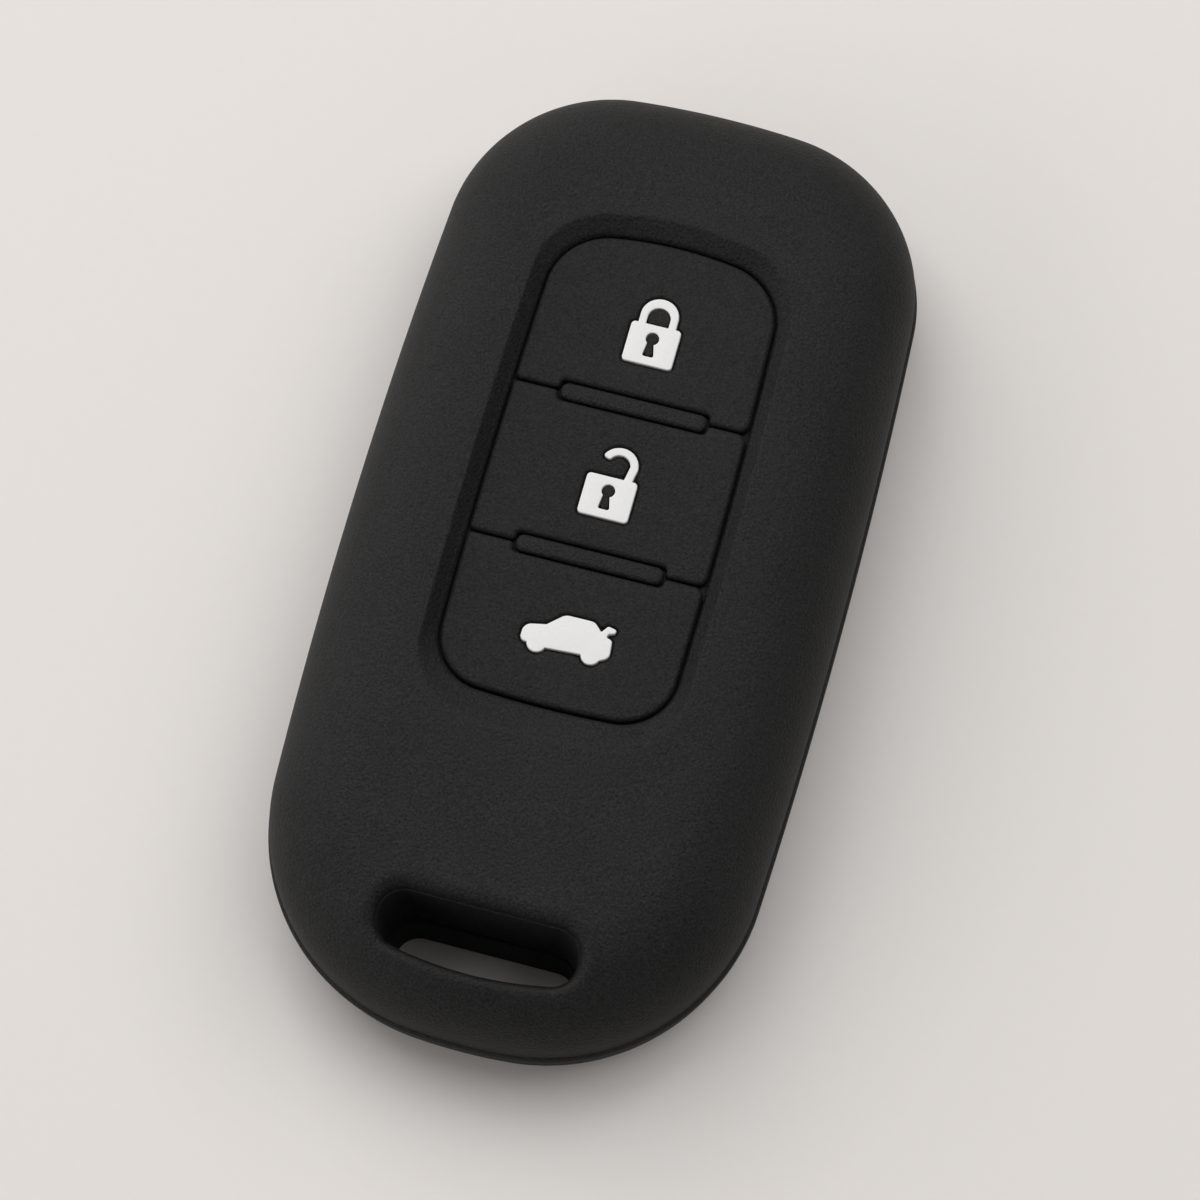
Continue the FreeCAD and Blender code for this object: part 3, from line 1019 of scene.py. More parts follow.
@dataclass
class FrontShell(MouldedShell):
    """Front half: domed face, soft edge, sloping recess round the pads and the slot's mouth."""

    crown: float = 15.0
    face_across: float = 420.0
    face_along: float = 1000.0
    edge: float = 7.6
    pocket_edge: float = 4.5
    band_share: float = 0.48
    recess_soft_share: float = 0.25
    recess_steps: int = 20
    lip_run: float = 0.35
    lip_drop: float = 0.65
    lip_start: float = 0.95
    lip_steps: int = 6
    rim_steps: int = 10
    wall_steps: int = 8
    mesh_step: float = 1.1
    mesh_gap_share: float = 0.36
    mesh_margin: float = 0.2
    mouth_row: float = 0.42
    recess_row: float = 0.45
    round_rows: int = 3
    edge_rows: int = 6

    def build(self) -> list[bpy.types.Object]:
        """Make the piece and hand it in."""
        seam_outer, band_end = self._band()
        recess_ring, seat_ring = self._recess()
        mouth_ring, slot_seam = self._slot()
        pocket_seam, pocket_roof = self._pocket()
        self._face(band_end, recess_ring, mouth_ring)
        self.skin.fill(pocket_roof, [seat_ring])
        self.skin.fill(seam_outer, [pocket_seam, slot_seam])
        rule = self.moulding_rule(self.crown, self.face_across, self.face_along, self.edge, 1.0)
        return self.mould("front_shell", rule)

    def _band(self) -> tuple[list[int], list[int]]:
        """Side from the seam up and over the first part of the rounded edge.

        Returns:
            The rings at the seam and at the band's inner end.
        """
        seam, chamfer = self.layout.seam, self.seam_chamfer
        foot = self.skin.ring(self.layout.cover.loop(chamfer), seam)
        insets = self.edge_insets(self.edge, self.band_share)
        return self.skin.bridge([foot, *self.side(seam + chamfer, insets)])

    def _recess(self) -> tuple[list[int], list[int]]:
        """Slope from the face down to the pads, the groove's outer wall and the web's seat.

        Returns:
            The rings at the face and at the pocket's roof.
        """
        layout, skin, soft = self.layout, self.skin, self.recess_soft_share
        outer = layout.recess.loop()
        inner = layout.panel.loop(-layout.groove / 2 - self.lip_run)
        rings = []
        for share in shares(self.recess_steps):
            fall = share ** 2 / (2 * soft) if share < soft else share - soft / 2
            fall /= 1 - soft / 2
            loop = [between(start, end, share) for start, end in zip(outer, inner)]
            rings.append(skin.ring(loop, layout.pad_level * fall, 1.0 - fall))
        for share in shares(self.lip_steps, 1):
            turn = self.lip_start + (QUARTER_TURN - self.lip_start) * share
            left = (1 - math.sin(turn)) / (1 - math.sin(self.lip_start))
            fall = 1 - math.cos(turn) / math.cos(self.lip_start)
            loop = layout.panel.loop(-layout.groove / 2 - self.lip_run * left)
            rings.append(skin.ring(loop, layout.pad_level - self.lip_drop * fall))
        opening = layout.panel.loop(-layout.groove / 2)
        seat = layout.panel.loop(-layout.web_flange)
        rings += [skin.ring(opening, layout.groove_floor), skin.ring(seat, layout.groove_floor),
                  skin.ring(seat, layout.roof)]
        return skin.bridge(rings)

    def _slot(self) -> tuple[list[int], list[int]]:
        """Rounded mouth of the slot and its wall down to the seam.

        Returns:
            The rings at the face and at the seam.
        """
        slot, seam, skin = self.layout.slot, self.layout.seam, self.skin
        rim, foot = slot.rim, seam + self.seam_chamfer

        def mouth(inset: float) -> Loop:
            """Loop of the mouth's rim, drawn back from the slot."""
            return slot.loop(slot.face_length, slot.rim_ledge + inset)

        rings = skin.rounding(mouth, 0.0, rim, rim, self.rim_steps, 1.0)[::-1]
        for share in shares(self.wall_steps):
            length = slot.face_length + (slot.seam_length - slot.face_length) * share
            rings.append(skin.ring(slot.loop(length), foot * share - rim * (1 - share), 1.0 - share))
        rings.append(skin.ring(slot.loop(slot.seam_length, self.seam_chamfer), seam))
        return skin.bridge(rings)

    def _pocket(self) -> tuple[list[int], list[int]]:
        """Inner wall of the fob pocket and the rounded corner below its roof.

        Returns:
            The rings at the seam and at the roof.
        """
        pocket, radius, skin = self.layout.pocket, self.pocket_edge, self.skin
        corner = skin.rounding(pocket.loop, self.layout.roof, radius, radius, self.edge_steps)
        return skin.bridge([skin.ring(pocket.loop(), self.layout.seam), *corner])

    def _face(self, band_end: list[int], recess_ring: list[int], mouth_ring: list[int]) -> None:
        """Domed face between the edge band, the recess and the slot's mouth.

        Args:
            band_end: ring at the end of the edge band.
            recess_ring: ring at the recess's upper edge.
            mouth_ring: ring at the slot's mouth.
        """
        cover, recess, slot = self.layout.cover, self.layout.recess, self.layout.slot
        skin, step, margin = self.skin, self.mesh_step, self.mesh_margin
        start = self.edge_insets(self.edge, self.band_share)[-1]
        scatter = Scatter(step * self.mesh_gap_share)
        for ring in (band_end, recess_ring, mouth_ring):
            scatter.block(skin.plan(ring))
        for row in range(1, self.round_rows + 1):
            scatter.add(slot.loop(slot.face_length, slot.rim + self.mouth_row * row))
            scatter.add(recess.loop(-self.recess_row * row))
        for share in shares(self.edge_rows, 1):
            scatter.add(cover.loop(start + (self.edge - start) * share))
        rows = round(cover.top / step)
        columns = round(cover.width / 2 / step)
        for row in range(-rows, rows + 1):
            shift = step / 2 * (row % 2)
            scatter.add((column * step + shift, row * step) for column in range(-columns, columns + 1))
        mouth = skin.plan(mouth_ring)
        inner = scatter.passing(lambda spots: (cover.insets(spots) > start + margin)
                                & (recess.insets(spots) < -margin) & ~within(spots, mouth))
        skin.fill(band_end, [recess_ring, mouth_ring], skin.ring(inner, 0.0, 1.0))


@dataclass
class BackShell(MouldedShell):
    """Rear half: rounded back edge, window with its soft lip and the slot's rear mouth."""

    edge: float = 3.2
    bead: float = 0.25
    bead_height: float = 0.9
    bead_fall: float = 0.5
    bead_round: float = 0.14
    bead_steps: int = 5
    back_wall: float = 1.6
    window_lip: float = 4.0
    lip_round: float = 0.45
    rim_steps: int = 6
    wall_steps: int = 5
    flat: float = 1e6

    def build(self) -> list[bpy.types.Object]:
        """Make the piece and hand it in."""
        seam_outer, back_ring = self._band()
        window_ring, pocket_seam = self._window()
        mouth_ring, slot_seam = self._slot()
        self.skin.fill(back_ring, [window_ring, mouth_ring])
        self.skin.fill(seam_outer, [pocket_seam, slot_seam])
        return self.mould("back_shell", self.moulding_rule(0.0, self.flat, self.flat, self.edge, -1.0))

    def _band(self) -> tuple[list[int], list[int]]:
        """Bead below the seam, then the side and the rounded back edge.

        Returns:
            The rings at the seam and at the flat back.
        """
        cover, seam, skin = self.layout.cover, self.layout.seam, self.skin
        bead, soft, foot = self.bead, self.bead_round, seam - self.bead_height
        rings = [skin.ring(cover.loop(self.seam_chamfer), seam)]
        for share in shares(self.bead_steps):
            rings.append(skin.ring(cover.loop(-bead * share * (2 - share)), seam - self.bead_fall * share))
        rings += skin.rounding(lambda inset: cover.loop(inset - bead), foot, soft, -soft, self.bead_steps)
        return skin.bridge([*rings, *self.side(foot, self.edge_insets(self.edge, 1.0))])

    def _window(self) -> tuple[list[int], list[int]]:
        """Rounded lip of the rear window and the pocket's wall up to the seam.

        Returns:
            The rings at the flat back and at the seam.
        """
        pocket, wall, soft, skin = self.layout.pocket, self.back_wall, self.lip_round, self.skin
        radius = self.edge - self.layout.wall

        def lip(inset: float) -> Loop:
            """Loop of the lip's edge, drawn back from the window."""
            return pocket.loop(self.window_lip - inset)

        rings = skin.rounding(lip, 0.0, soft, -soft, self.rim_steps)[::-1]
        rings += skin.rounding(lip, wall, soft, soft, self.rim_steps)
        rings += skin.rounding(pocket.loop, wall, radius, -radius, self.edge_steps)[::-1]
        rings.append(skin.ring(pocket.loop(), self.layout.seam))
        return skin.bridge(rings)

    def _slot(self) -> tuple[list[int], list[int]]:
        """Wall of the slot from its rounded rear mouth to the seam.

        Returns:
            The rings at the flat back and at the seam.
        """
        slot, seam, skin = self.layout.slot, self.layout.seam, self.skin
        rim, soft = slot.back_rim, slot.seam_soft

        def wall(inset: float) -> Loop:
            """Loop of the slot's wall, drawn back from the slot."""
            return slot.loop(slot.seam_length, inset - slot.seam_step)

        rings = skin.rounding(wall, 0.0, rim, -rim, self.rim_steps)[::-1]
        for share in shares(self.wall_steps, 1)[:-1]:
            rings.append(skin.ring(wall(0.0), rim + (seam - soft - rim) * share))
        rings += skin.rounding(wall, seam, soft, soft, self.bead_steps)
        return skin.bridge(rings)


class Press(Enum):
    """The three press pads, by the body that each moves with."""

    LOCK = "lock_pad"
    UNLOCK = "unlock_pad"
    BOOT = "boot_pad"

    @property
    def word(self) -> str:
        """Plain name of the pad's job."""
        return self.value.removesuffix("_pad")


@dataclass
class SignShape:
    """Outline of a white sign and the holes in it, in plan."""

    outer: Loop
    holes: list[Loop]


@dataclass
class SignDrawing:
    """Draws the padlocks and the car, in millimetres."""

    layout: Layout
    step: float = 0.22
    padlock_shift: Point = (0.01, -0.05)
    car_shift: Point = (0.09, 0.0)
    body_width: float = 4.08
    body_height: float = 3.5
    body_corner: float = 0.34
    crook: float = 0.05
    shackle_half: float = 1.54
    shackle_top: float = 5.82
    shackle_round_share: float = 0.99
    shackle_points: int = 14
    hoop_half: float = 0.92
    hoop_top: float = 5.02
    hoop_round_share: float = 0.97
    hoop_points: int = 12
    key_line: float = -0.06
    key_eye: float = 0.53
    key_eye_rise: float = 2.3
    key_eye_points: int = 22
    key_throat: float = math.radians(66)
    key_foot: float = 0.47
    key_foot_rise: float = 0.73
    key_corner: float = 0.15
    swing_middle: Point = (0.2, 4.55)
    swing_radius: float = 1.53
    swing_stroke: float = 0.64
    swing_turn: float = math.radians(158)
    swing_leg: Point = (0.88, 1.54)
    swing_points: tuple[int, int] = (24, 18)
    tip_round: float = 0.2
    tip_turns: tuple[float, float] = (0.1, 0.2)
    wheel: float = 0.78
    wheel_points: int = 16
    wheel_places: tuple[Point, Point] = ((-2.24, -0.97), (2.08, -0.92))
    sill: float = -1.11
    car_points: int = 8
    car_end: tuple[Corner, ...] = (
        Corner(3.54, -0.82, 0.62), Corner(3.39, 0.64, 0.32), Corner(2.87, 0.8, 0.1),
        Corner(2.99, 1.1, 0.1), Corner(3.46, 1.24, 0.14), Corner(3.51, 1.56, 0.15),
        Corner(2.8, 1.72, 0.2), Corner(2.39, 1.12, 0.06), Corner(1.7, 1.79, 0.75),
        Corner(-0.65, 1.77, 0.9), Corner(-1.88, 0.66, 0.08), Corner(-3.6, 0.3, 0.75),
        Corner(-3.6, -1.06, 0.45),
    )

    def draw(self, press: Press) -> SignShape:
        """Drawing of one pad's sign, in its place.

        Args:
            press: the pad that carries it.

        Returns:
            The sign's outline and holes.
        """
        drawings: dict[Press, Callable[[], SignShape]] = {
            Press.LOCK: self._closed_padlock, Press.UNLOCK: self._open_padlock, Press.BOOT: self._car}
        box = Solid.of(press.word + "_sign")
        across, along = self.car_shift if press is Press.BOOT else self.padlock_shift
        across += self.layout.bar_line
        along += box.middle.y if press is Press.BOOT else box.low.y
        shape = drawings[press]()
        moved = [[(x + across, y + along) for x, y in loop] for loop in (shape.outer, *shape.holes)]
        return SignShape(moved[0], moved[1:])

    def _body(self) -> tuple[list[Corner], Loop]:
        """Lower corners of a padlock's body, and its keyhole."""
        half, height, corner = self.body_width / 2, self.body_height, self.body_corner
        lower = [Corner(x, y, corner) for x, y in ((-half, height), (-half, 0), (half, 0), (half, height))]
        middle, throat, reach = self.key_line, self.key_throat, self.key_foot
        eye = arc((middle, self.key_eye_rise), self.key_eye, -throat, HALF_TURN + throat,
                  self.key_eye_points)
        foot = [Corner(x, self.key_foot_rise, self.key_corner) for x in (middle - reach, middle + reach)]
        return lower, rounded([Corner(*point) for point in eye] + foot, self.step)

    def _closed_padlock(self) -> SignShape:
        """Padlock with its shackle down."""
        lower, keyhole = self._body()
        height, crook, half, hoop = self.body_height, self.crook, self.shackle_half, self.hoop_half
        bend, hoop_bend = half * self.shackle_round_share, hoop * self.hoop_round_share
        shackle = [Corner(half, height, crook), Corner(half, self.shackle_top, bend),
                   Corner(-half, self.shackle_top, bend), Corner(-half, height, crook)]
        gap = [Corner(-hoop, height, crook), Corner(hoop, height, crook),
               Corner(hoop, self.hoop_top, hoop_bend), Corner(-hoop, self.hoop_top, hoop_bend)]
        outer = rounded(lower + shackle, self.step, self.shackle_points)
        return SignShape(outer, [rounded(gap, self.step, self.hoop_points), keyhole])

    def _open_padlock(self) -> SignShape:
        """Padlock with its shackle swung open."""
        lower, keyhole = self._body()
        middle, turn, radius = self.swing_middle, self.swing_turn, self.swing_radius
        thin = radius - self.swing_stroke
        outside = arc(middle, radius, 0, turn - self.tip_turns[0], self.swing_points[0])
        inside = arc(middle, thin, turn - self.tip_turns[1], 0, self.swing_points[1])
        tip = [Corner(*arc(middle, reach, turn, turn, 1)[0], self.tip_round) for reach in (radius, thin)]
        inner_foot, outer_foot = (Corner(x, self.body_height, self.crook) for x in self.swing_leg)
        shackle = [outer_foot, *(Corner(*point) for point in outside), *tip,
                   *(Corner(*point) for point in inside), inner_foot]
        return SignShape(rounded(lower + shackle, self.step), [keyhole])

    def _car(self) -> SignShape:
        """Car seen from the side with its boot lid up."""
        dip = math.asin((self.wheel_places[0][1] - self.sill) / self.wheel)
        start, end = HALF_TURN + dip, 2 * HALF_TURN - dip
        wheels = [Corner(*point) for place in self.wheel_places
                  for point in arc(place, self.wheel, start, end, self.wheel_points)]
        return SignShape(rounded([*wheels, *self.car_end], self.step, self.car_points), [])


@dataclass
class PressPad:
    """One press pad with its boss below and the white sign let into it."""

    press: Press
    layout: Layout
    dresser: Dresser
    drawing: SignDrawing
    edge_run: float = 0.36
    edge_drop: float = 0.4
    edge_steps: int = 6
    left_corner: float = 0.45
    right_corner: float = 0.8
    notch_mouth: float = 0.4
    notch_corner: float = 0.38
    boss_inset: float = 1.475
    boss_round: float = 0.35
    moat: float = 0.16
    hole_share: float = 0.45
    moat_depth: float = 0.42
    moat_round: float = 0.2
    moat_steps: int = 5
    sign_proud: float = 0.05
    sign_round: float = 0.09
    step: float = 0.45
    corner_margin: float = 1.2
    mesh_step: float = 1.2
    mesh_gap_share: float = 0.6

    def build(self) -> list[bpy.types.Object]:
        """Make the pad and its sign and hand them in."""
        shape = self.drawing.draw(self.press)
        word, body = self.press.word, self.press.value
        pad = self._pad(shape).piece(word + "_button_skin")
        sign = self._sign(shape).piece(word + "_sign_skin")
        return [self.dresser.hand_in(pad, Finish.BUTTON, body, [word + "_button"]),
                self.dresser.hand_in(sign, Finish.WHITE, body, [word + "_sign"])]

    def plan(self, inset: float, notched: bool) -> Loop:
        """Pad in plan, drawn in from the middle of the grooves.

        Args:
            inset: how far it is drawn in.
            notched: whether it makes room for the divider bars.

        Returns:
            The loop, anticlockwise.
        """
        panel, dividers = self.layout.panel, self.layout.dividers
        spans = {Press.LOCK: (dividers[1], None), Press.UNLOCK: dividers, Press.BOOT: (None, dividers[0])}
        low, high = spans[self.press]
        margin = self.corner_margin
        floor = panel.bottom - margin if low is None else low + inset + margin
        ceiling = panel.top + margin if high is None else high - inset - margin
        around = [point for point in panel.loop(inset) if floor < point[1] < ceiling]
        right = [Corner(x, y) for x, y in around if x >= 0]
        left = [Corner(x, y) for x, y in around if x < 0]
        lower = [] if low is None else self._divided_edge(low + inset, 1.0, inset, notched)
        upper = [] if high is None else self._divided_edge(high - inset, -1.0, inset, notched)[::-1]
        return rounded(lower + right + upper + left, self.step)

    def _divided_edge(self, y: float, side: float, inset: float, notched: bool) -> list[Corner]:
        """Corners along a divider, from left to right.

        Args:
            y: where the pad's edge lies.
            side: 1 where the pad is above the divider, -1 where it is below.
            inset: how far the pad is drawn in.
            notched: whether it makes room for the divider bar.

        Returns:
            The corners.
        """
        layout = self.layout
        reach = layout.panel.side_at(y, inset)
        ends = (Corner(-reach, y, self.left_corner), Corner(reach, y, self.right_corner))
        if not notched:
            return list(ends)
        half = layout.bar_half + layout.groove
        crest = y + side * (layout.bar_thick / 2 + layout.groove - inset)
        left, right = layout.bar_line - half, layout.bar_line + half
        return [ends[0], Corner(left, y, self.notch_mouth), Corner(left, crest, self.notch_corner),
                Corner(right, crest, self.notch_corner), Corner(right, y, self.notch_mouth), ends[1]]

    def _pad(self, shape: SignShape) -> Skin:
        """Skin of the pad, with a moat round the sign."""
        layout, skin = self.layout, Skin()
        top, floor, slim = layout.pad_level, layout.groove_floor, self.hole_share
        plan = self.plan(layout.groove / 2, True)
        edge = skin.rounding(partial(drawn_in, plan), top, self.edge_run, self.edge_drop, self.edge_steps)
        lower_edge, upper_edge = skin.bridge([skin.ring(plan, floor), *edge])
        shore, bank = self._moat_wall(skin, shape.outer, -self.moat, -self.moat_round)
        islands = [self._moat_wall(skin, hole, self.moat * slim, self.moat_round * slim)
                   for hole in shape.holes]
        inner = self._inner_points(skin.plan(upper_edge), skin.plan(shore))
        skin.fill(upper_edge, [shore], skin.ring(inner, top))
        skin.fill(bank, [island_bank for _, island_bank in islands])
        for island_shore, _ in islands:
            skin.fill(island_shore)
        boss, soft = self.plan(self.boss_inset, False), self.boss_round
        toe = skin.rounding(partial(drawn_in, boss), layout.boss_level, soft, -soft, self.edge_steps)
        boss_root, boss_end = skin.bridge([skin.ring(boss, floor), *toe])
        skin.fill(boss_end)
        skin.fill(lower_edge, [boss_root])
        return skin

    def _moat_wall(self, skin: Skin, loop: Loop, inset: float, soft: float) -> tuple[list[int], list[int]]:
        """Rounded shore of the moat, from the pad's top down to the moat's floor.

        Args:
            skin: the skin to add to.
            loop: the sign's edge.
            inset: place of the shore's wall, from the sign's edge.
            soft: radius of the shore's edge, with the inset's sign.

        Returns:
            The rings at the top and at the floor.
        """
        top = self.layout.pad_level
        crest = set_off(loop, inset + soft)

        def wall(back: float) -> Loop:
            """Loop of the moat's wall, drawn back towards the crest."""
            return drawn_in(crest, back - soft)

        rings = skin.rounding(wall, top, soft, abs(soft), self.moat_steps)[::-1]
        return skin.bridge([*rings, skin.ring(wall(0.0), top - self.moat_depth)])

    def _inner_points(self, rim: Loop, shore: Loop) -> Loop:
        """Even points over the pad's top, clear of its rim and of the moat's shore."""
        scatter = Scatter(self.mesh_step * self.mesh_gap_share)
        scatter.block(rim + shore)
        low, high = np.min(rim, axis=0), np.max(rim, axis=0)
        xs, ys = (np.arange(low[axis], high[axis], self.mesh_step) for axis in (0, 1))
        scatter.add((float(x), float(y)) for y in ys for x in xs)
        return scatter.passing(lambda spots: within(spots, rim) & ~within(spots, shore))

    def _sign(self, shape: SignShape) -> Skin:
        """Skin of the white sign, standing a little proud with a rounded edge."""
        skin, soft = Skin(), self.sign_round
        top = self.layout.pad_level + self.sign_proud
        base = self.layout.pad_level - self.moat_depth
        walls = []
        for loop, way in [(shape.outer, 1.0), *((hole, -1.0) for hole in shape.holes)]:
            edge = skin.rounding(partial(drawn_in, loop), top, way * soft, soft, self.edge_steps)
            walls.append(skin.bridge([skin.ring(loop, base), *edge]))
        for outer, *holes in zip(*walls):
            skin.fill(outer, holes)
        return skin


@dataclass
class ButtonWeb:
    """Thin skin below the grooves, with a separate ledge under each pad."""

    layout: Layout
    dresser: Dresser
    pads: Sequence[PressPad]
    window_inset: float = 1.175
    ledge_inset: float = 0.05
    ledge_gap: float = 0.03
    give: float = 0.62
    give_depth: float = 6.2

    def build(self) -> list[bpy.types.Object]:
        """Make the pieces and hand them in."""
        layout = self.layout
        ledges = [pad.plan(self.ledge_inset, True) for pad in self.pads]
        pieces = [self._plate("button_web_skin", layout.panel.loop(-layout.web_flange),
                              [drawn_in(ledge, -self.ledge_gap) for ledge in ledges])]
        for pad, outer in zip(self.pads, ledges):
            ledge = self._plate(pad.press.word + "_web_skin", outer, [pad.plan(self.window_inset, False)])
            pad.press.word + "_press"
            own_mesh(ledge)
            pieces.append(ledge)
        return pieces

    def _plate(self, name: str, outer: Loop, holes: Sequence[Loop]) -> bpy.types.Object:
        """Flat piece of the web, as thick as the solid.

        Args:
            name: the piece's name.
            outer: its outline.
            holes: the openings in it.

        Returns:
            The piece, handed in.
        """
        layout, skin = self.layout, Skin()
        walls = [skin.bridge([skin.ring(loop, layout.groove_floor), skin.ring(loop, layout.roof)])
                 for loop in (outer, *holes)]
        for edge, *openings in zip(*walls):
            skin.fill(edge, openings)
        return self.dresser.hand_in(skin.piece(name), Finish.COVER, "cover", ["button_web"])


@dataclass
class DividerBars:
    """The slim ribs between the pads, raised from one rounded plan and set at each divider."""

    layout: Layout
    dresser: Dresser
    end_radius: float = 0.63
    edge: float = 0.34
    edge_steps: int = 5
    corner_points: int = 10

    def build(self) -> list[bpy.types.Object]:
        """Make both bars with one node tree and hand them in."""
        layout = self.layout
        seats = bpy.data.meshes.new("divider_bars_skin")
        places = [Vector((layout.bar_line, y, layout.groove_floor)) * MM for y in layout.dividers]
        seats.from_pydata(places, [], [])
        piece = add_object(seats.name, seats)
        self._tree().run(piece, self.dresser.material(Finish.COVER))
        nodes = ["upper_divider_bar", "lower_divider_bar"]
        return [self.dresser.hand_in(piece, Finish.COVER, "cover", nodes)]

    def _tree(self) -> NodeTool:
        """Tree that raises a bar, rounds its top edge and sets one at each point."""
        layout = self.layout
        tool = NodeTool("divider_bars", {
            "Length": 2 * layout.bar_half * MM, "Width": layout.bar_thick * MM,
            "Height": (layout.pad_level - layout.groove_floor) * MM,
            "End Radius": self.end_radius * MM, "Edge Radius": self.edge * MM})
        graph = tool.graph
        plan = graph.node("GeometryNodeCurvePrimitiveQuadrilateral", None, {
            "Width": tool.size("Length"), "Height": tool.size("Width")})
        soft = graph.node("GeometryNodeFilletCurve", {"mode": "POLY"}, {
            "Curve": plan.outputs[0], "Radius": tool.size("End Radius"), "Count": self.corner_points})
        base = graph.node("GeometryNodeFillCurve", None, {"Curve": soft.outputs[0]})
        radius = tool.size("Edge Radius")
        solid, top = self._raised(tool, base.outputs[0], None, tool.size("Height") - radius, 0.0, 0.0)
        turns = [QUARTER_TURN * share for share in shares(self.edge_steps)]
        for last, turn in zip(turns, turns[1:]):
            rise = radius * (math.sin(turn) - math.sin(last))
            solid, top = self._raised(tool, solid, top, rise, 1 - math.cos(last), 1 - math.cos(turn))
        closed = graph.node("GeometryNodeFlipFaces", None, {"Mesh": base.outputs[0]})
        joined = graph.node("GeometryNodeJoinGeometry")
        for socket in (solid, closed.outputs[0]):
            graph.feed(joined.inputs[0], socket)
        welded = graph.node("GeometryNodeMergeByDistance", None, {
            "Geometry": joined.outputs[0], "Distance": WELD})
        seats = graph.node("GeometryNodeMeshToPoints", None, {"Mesh": tool.entry.outputs["Geometry"]})
        placed = graph.node("GeometryNodeInstanceOnPoints", None, {
            "Points": seats.outputs[0], "Instance": welded.outputs[0]})
        tool.end(placed.outputs[0])
        return tool

    def _raised(self, tool: NodeTool, mesh: bpy.types.NodeSocket, top: bpy.types.NodeSocket | None,
                rise: Value, before: float,
                after: float) -> tuple[bpy.types.NodeSocket, bpy.types.NodeSocket]:
        """Raise the top of the bar and draw it in.

        Args:
            tool: the tree.
            mesh: the bar so far.
            top: which faces are its top, or none for all.
            rise: how far the top goes up.
            before: how far it was drawn in, as a share of the edge's radius.
            after: how far it is drawn in now.

        Returns:
            The raised bar and its new top.
        """
        graph = tool.graph
        sockets: dict[str, Any] = {
            "Mesh": mesh, "Offset": (0.0, 0.0, 1.0), "Offset Scale": rise, "Individual": False}
        if top is not None:
            sockets["Selection"] = top
        lifted = graph.node("GeometryNodeExtrudeMesh", {"mode": "FACES"}, sockets)
        radius = tool.size("Edge Radius")
        across, along = ((tool.size(name) - 2 * after * radius) / (tool.size(name) - 2 * before * radius)
                         for name in ("Length", "Width"))
        scale = graph.value("ShaderNodeCombineXYZ", None, {0: across, 1: along, 2: 1.0})
        place = graph.value("GeometryNodeInputPosition")
        drawn = graph.value("ShaderNodeVectorMath", {"operation": "MULTIPLY"}, {0: place, 1: scale})
        moved = graph.node("GeometryNodeSetPosition", None, {
            "Geometry": lifted.outputs["Mesh"], "Selection": lifted.outputs["Top"], "Position": drawn})
        return moved.outputs[0], lifted.outputs["Top"]


@dataclass(frozen=True)
class Lamp:
    """Square soft light, placed by its bearing from the cover."""

    name: str
    azimuth: float
    elevation: float
    power: float
    distance: float = 1.1
    size: float = 0.9

    def hang(self) -> None:
        """Add the lamp to the scene, looking at the cover."""
        turn, rise = math.radians(self.azimuth), math.radians(self.elevation)
        place = Vector((math.cos(turn) * math.cos(rise), math.sin(turn) * math.cos(rise), math.sin(rise)))
        data = bpy.data.lights.new(self.name, "AREA")
        data.size = self.size
        data.energy = self.power
        lamp = add_object(self.name, data)
        lamp.location = place * self.distance
        lamp.rotation_euler = (-place).to_track_quat("-Z", "Y").to_euler()
        lamp.visible_camera = False


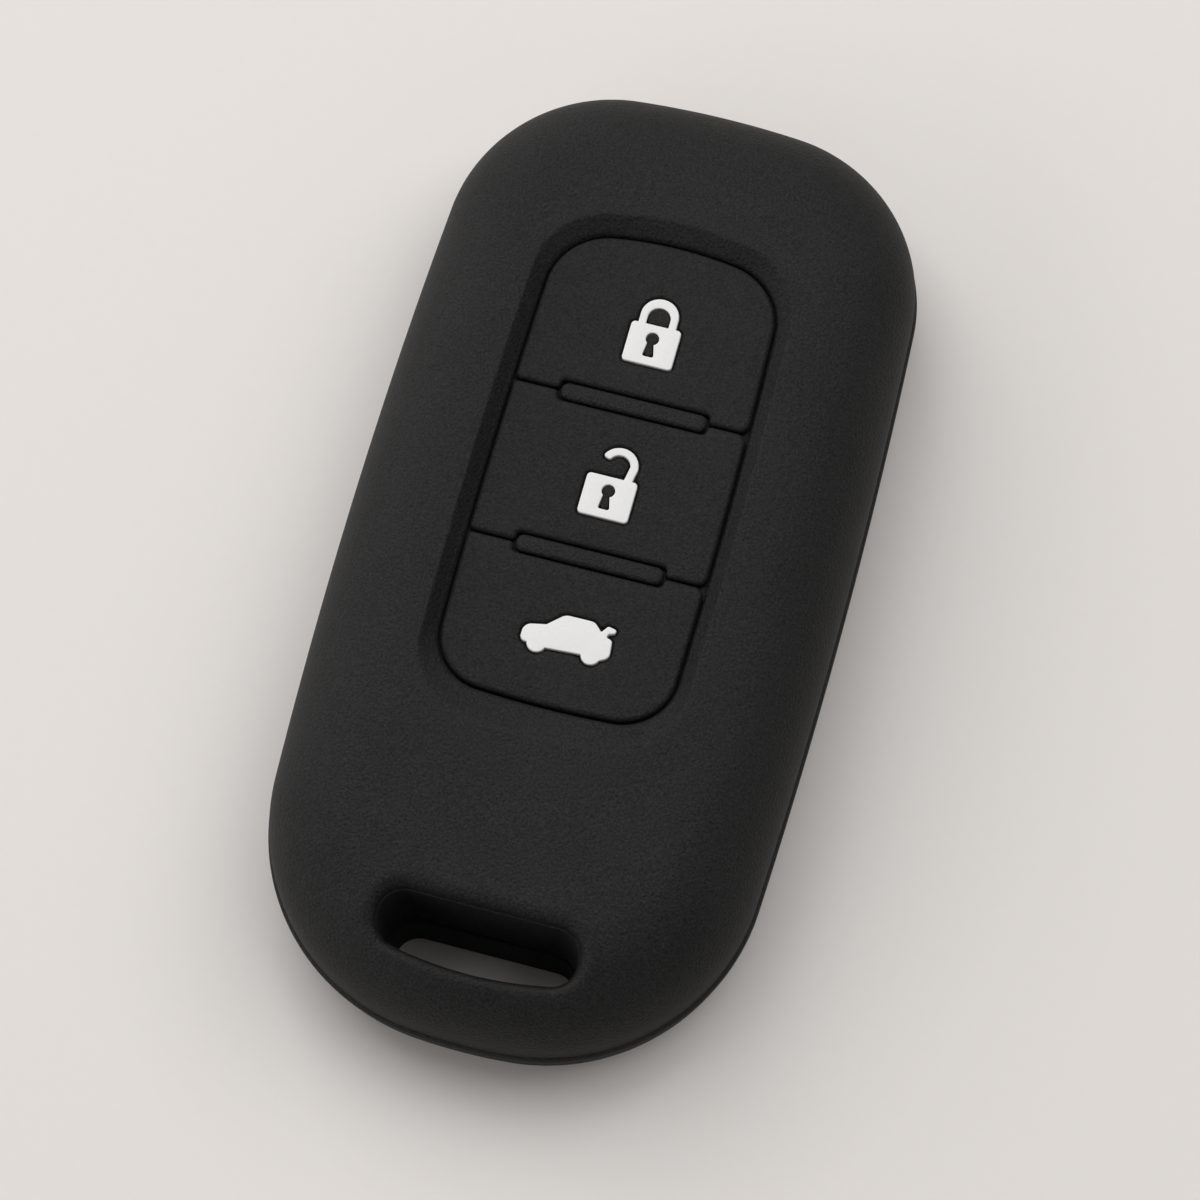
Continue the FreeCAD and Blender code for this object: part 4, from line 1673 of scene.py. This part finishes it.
@dataclass
class Studio:
    """Pale floor, soft lights and the camera."""

    paper: Paper = Paper("studio_paper", (0.735, 0.700, 0.675), 0.012)
    floor_half: float = 3.0
    floor_gap: float = 0.01
    camera_place: tuple[float, float, float] = (33.07, -105.11, 305.814)
    camera_right: tuple[float, float, float] = (0.964998, 0.261921, -0.013254)
    camera_ahead: tuple[float, float, float] = (-0.100369, 0.322155, -0.941351)
    lens: float = 120.0
    sensor: float = 36.0
    clip_start: float = 0.01
    clip_end: float = 20.0
    world_colour: Colour = (1.0, 0.985, 0.97)
    world_strength: float = 0.17
    lamps: tuple[Lamp, ...] = (
        Lamp("high_back_left", 135, 55, 6.3), Lamp("high_back_right", 45, 55, 5.7),
        Lamp("front_left", 225, 15, 3.8), Lamp("left", 180, 15, 2.9),
        Lamp("back_left", 135, 15, 3.2), Lamp("front_right", 315, 15, 0.8),
    )

    def build(self) -> None:
        """Make the floor, the lights and the camera."""
        self._floor()
        self._world()
        for lamp in self.lamps:
            lamp.hang()
        self._camera()

    def _floor(self) -> None:
        """Large flat floor just under the cover."""
        half, level = self.floor_half, CAD_LOW.z - self.floor_gap * MM
        corners = [(-half, -half, level), (half, -half, level), (half, half, level), (-half, half, level)]
        mesh = bpy.data.meshes.new("studio_floor")
        mesh.from_pydata(corners, [], [(0, 1, 2, 3)])
        mesh.materials.append(self.paper.material())
        floor = add_object(mesh.name, mesh)

    def _world(self) -> None:
        """Even soft light from all round."""
        world = bpy.data.worlds.new("studio")
        world.use_nodes = True
        world.node_tree.nodes.clear()
        graph = Graph(world.node_tree)
        glow = graph.node("ShaderNodeBackground", None, {
            "Color": (*self.world_colour, 1.0), "Strength": self.world_strength})
        graph.node("ShaderNodeOutputWorld", None, {"Surface": glow.outputs[0]})
        bpy.context.scene.world = world

    def _camera(self) -> None:
        """Camera at the photograph's place."""
        data = bpy.data.cameras.new("camera")
        data.lens = self.lens
        data.sensor_width = self.sensor
        data.clip_start = self.clip_start
        data.clip_end = self.clip_end
        right = Vector(self.camera_right).normalized()
        back = -Vector(self.camera_ahead).normalized()
        up = back.cross(right)
        turn = Matrix((right, up, back)).transposed().to_4x4()
        camera = add_object("camera", data)
        camera.matrix_world = Matrix.Translation(Vector(self.camera_place) * MM) @ turn
        bpy.context.scene.camera = camera


def main() -> None:
    """Build the cover in order, then its studio."""
    logging.basicConfig(level=logging.INFO, format="%(message)s")
    bpy.context.scene.view_settings.view_transform = "Standard"
    layout, dresser = Layout(), Dresser()
    drawing = SignDrawing(layout)
    pads = [PressPad(press, layout, dresser, drawing) for press in Press]
    shells = [FrontShell(layout, dresser), BackShell(layout, dresser)]
    for assembly in (*shells, ButtonWeb(layout, dresser, pads), *pads, DividerBars(layout, dresser)):
        for piece in assembly.build():
            log.info("%s: %d faces", piece.name, len(piece.data.polygons))
    Studio().build()


if __name__ == "__main__":
    main()
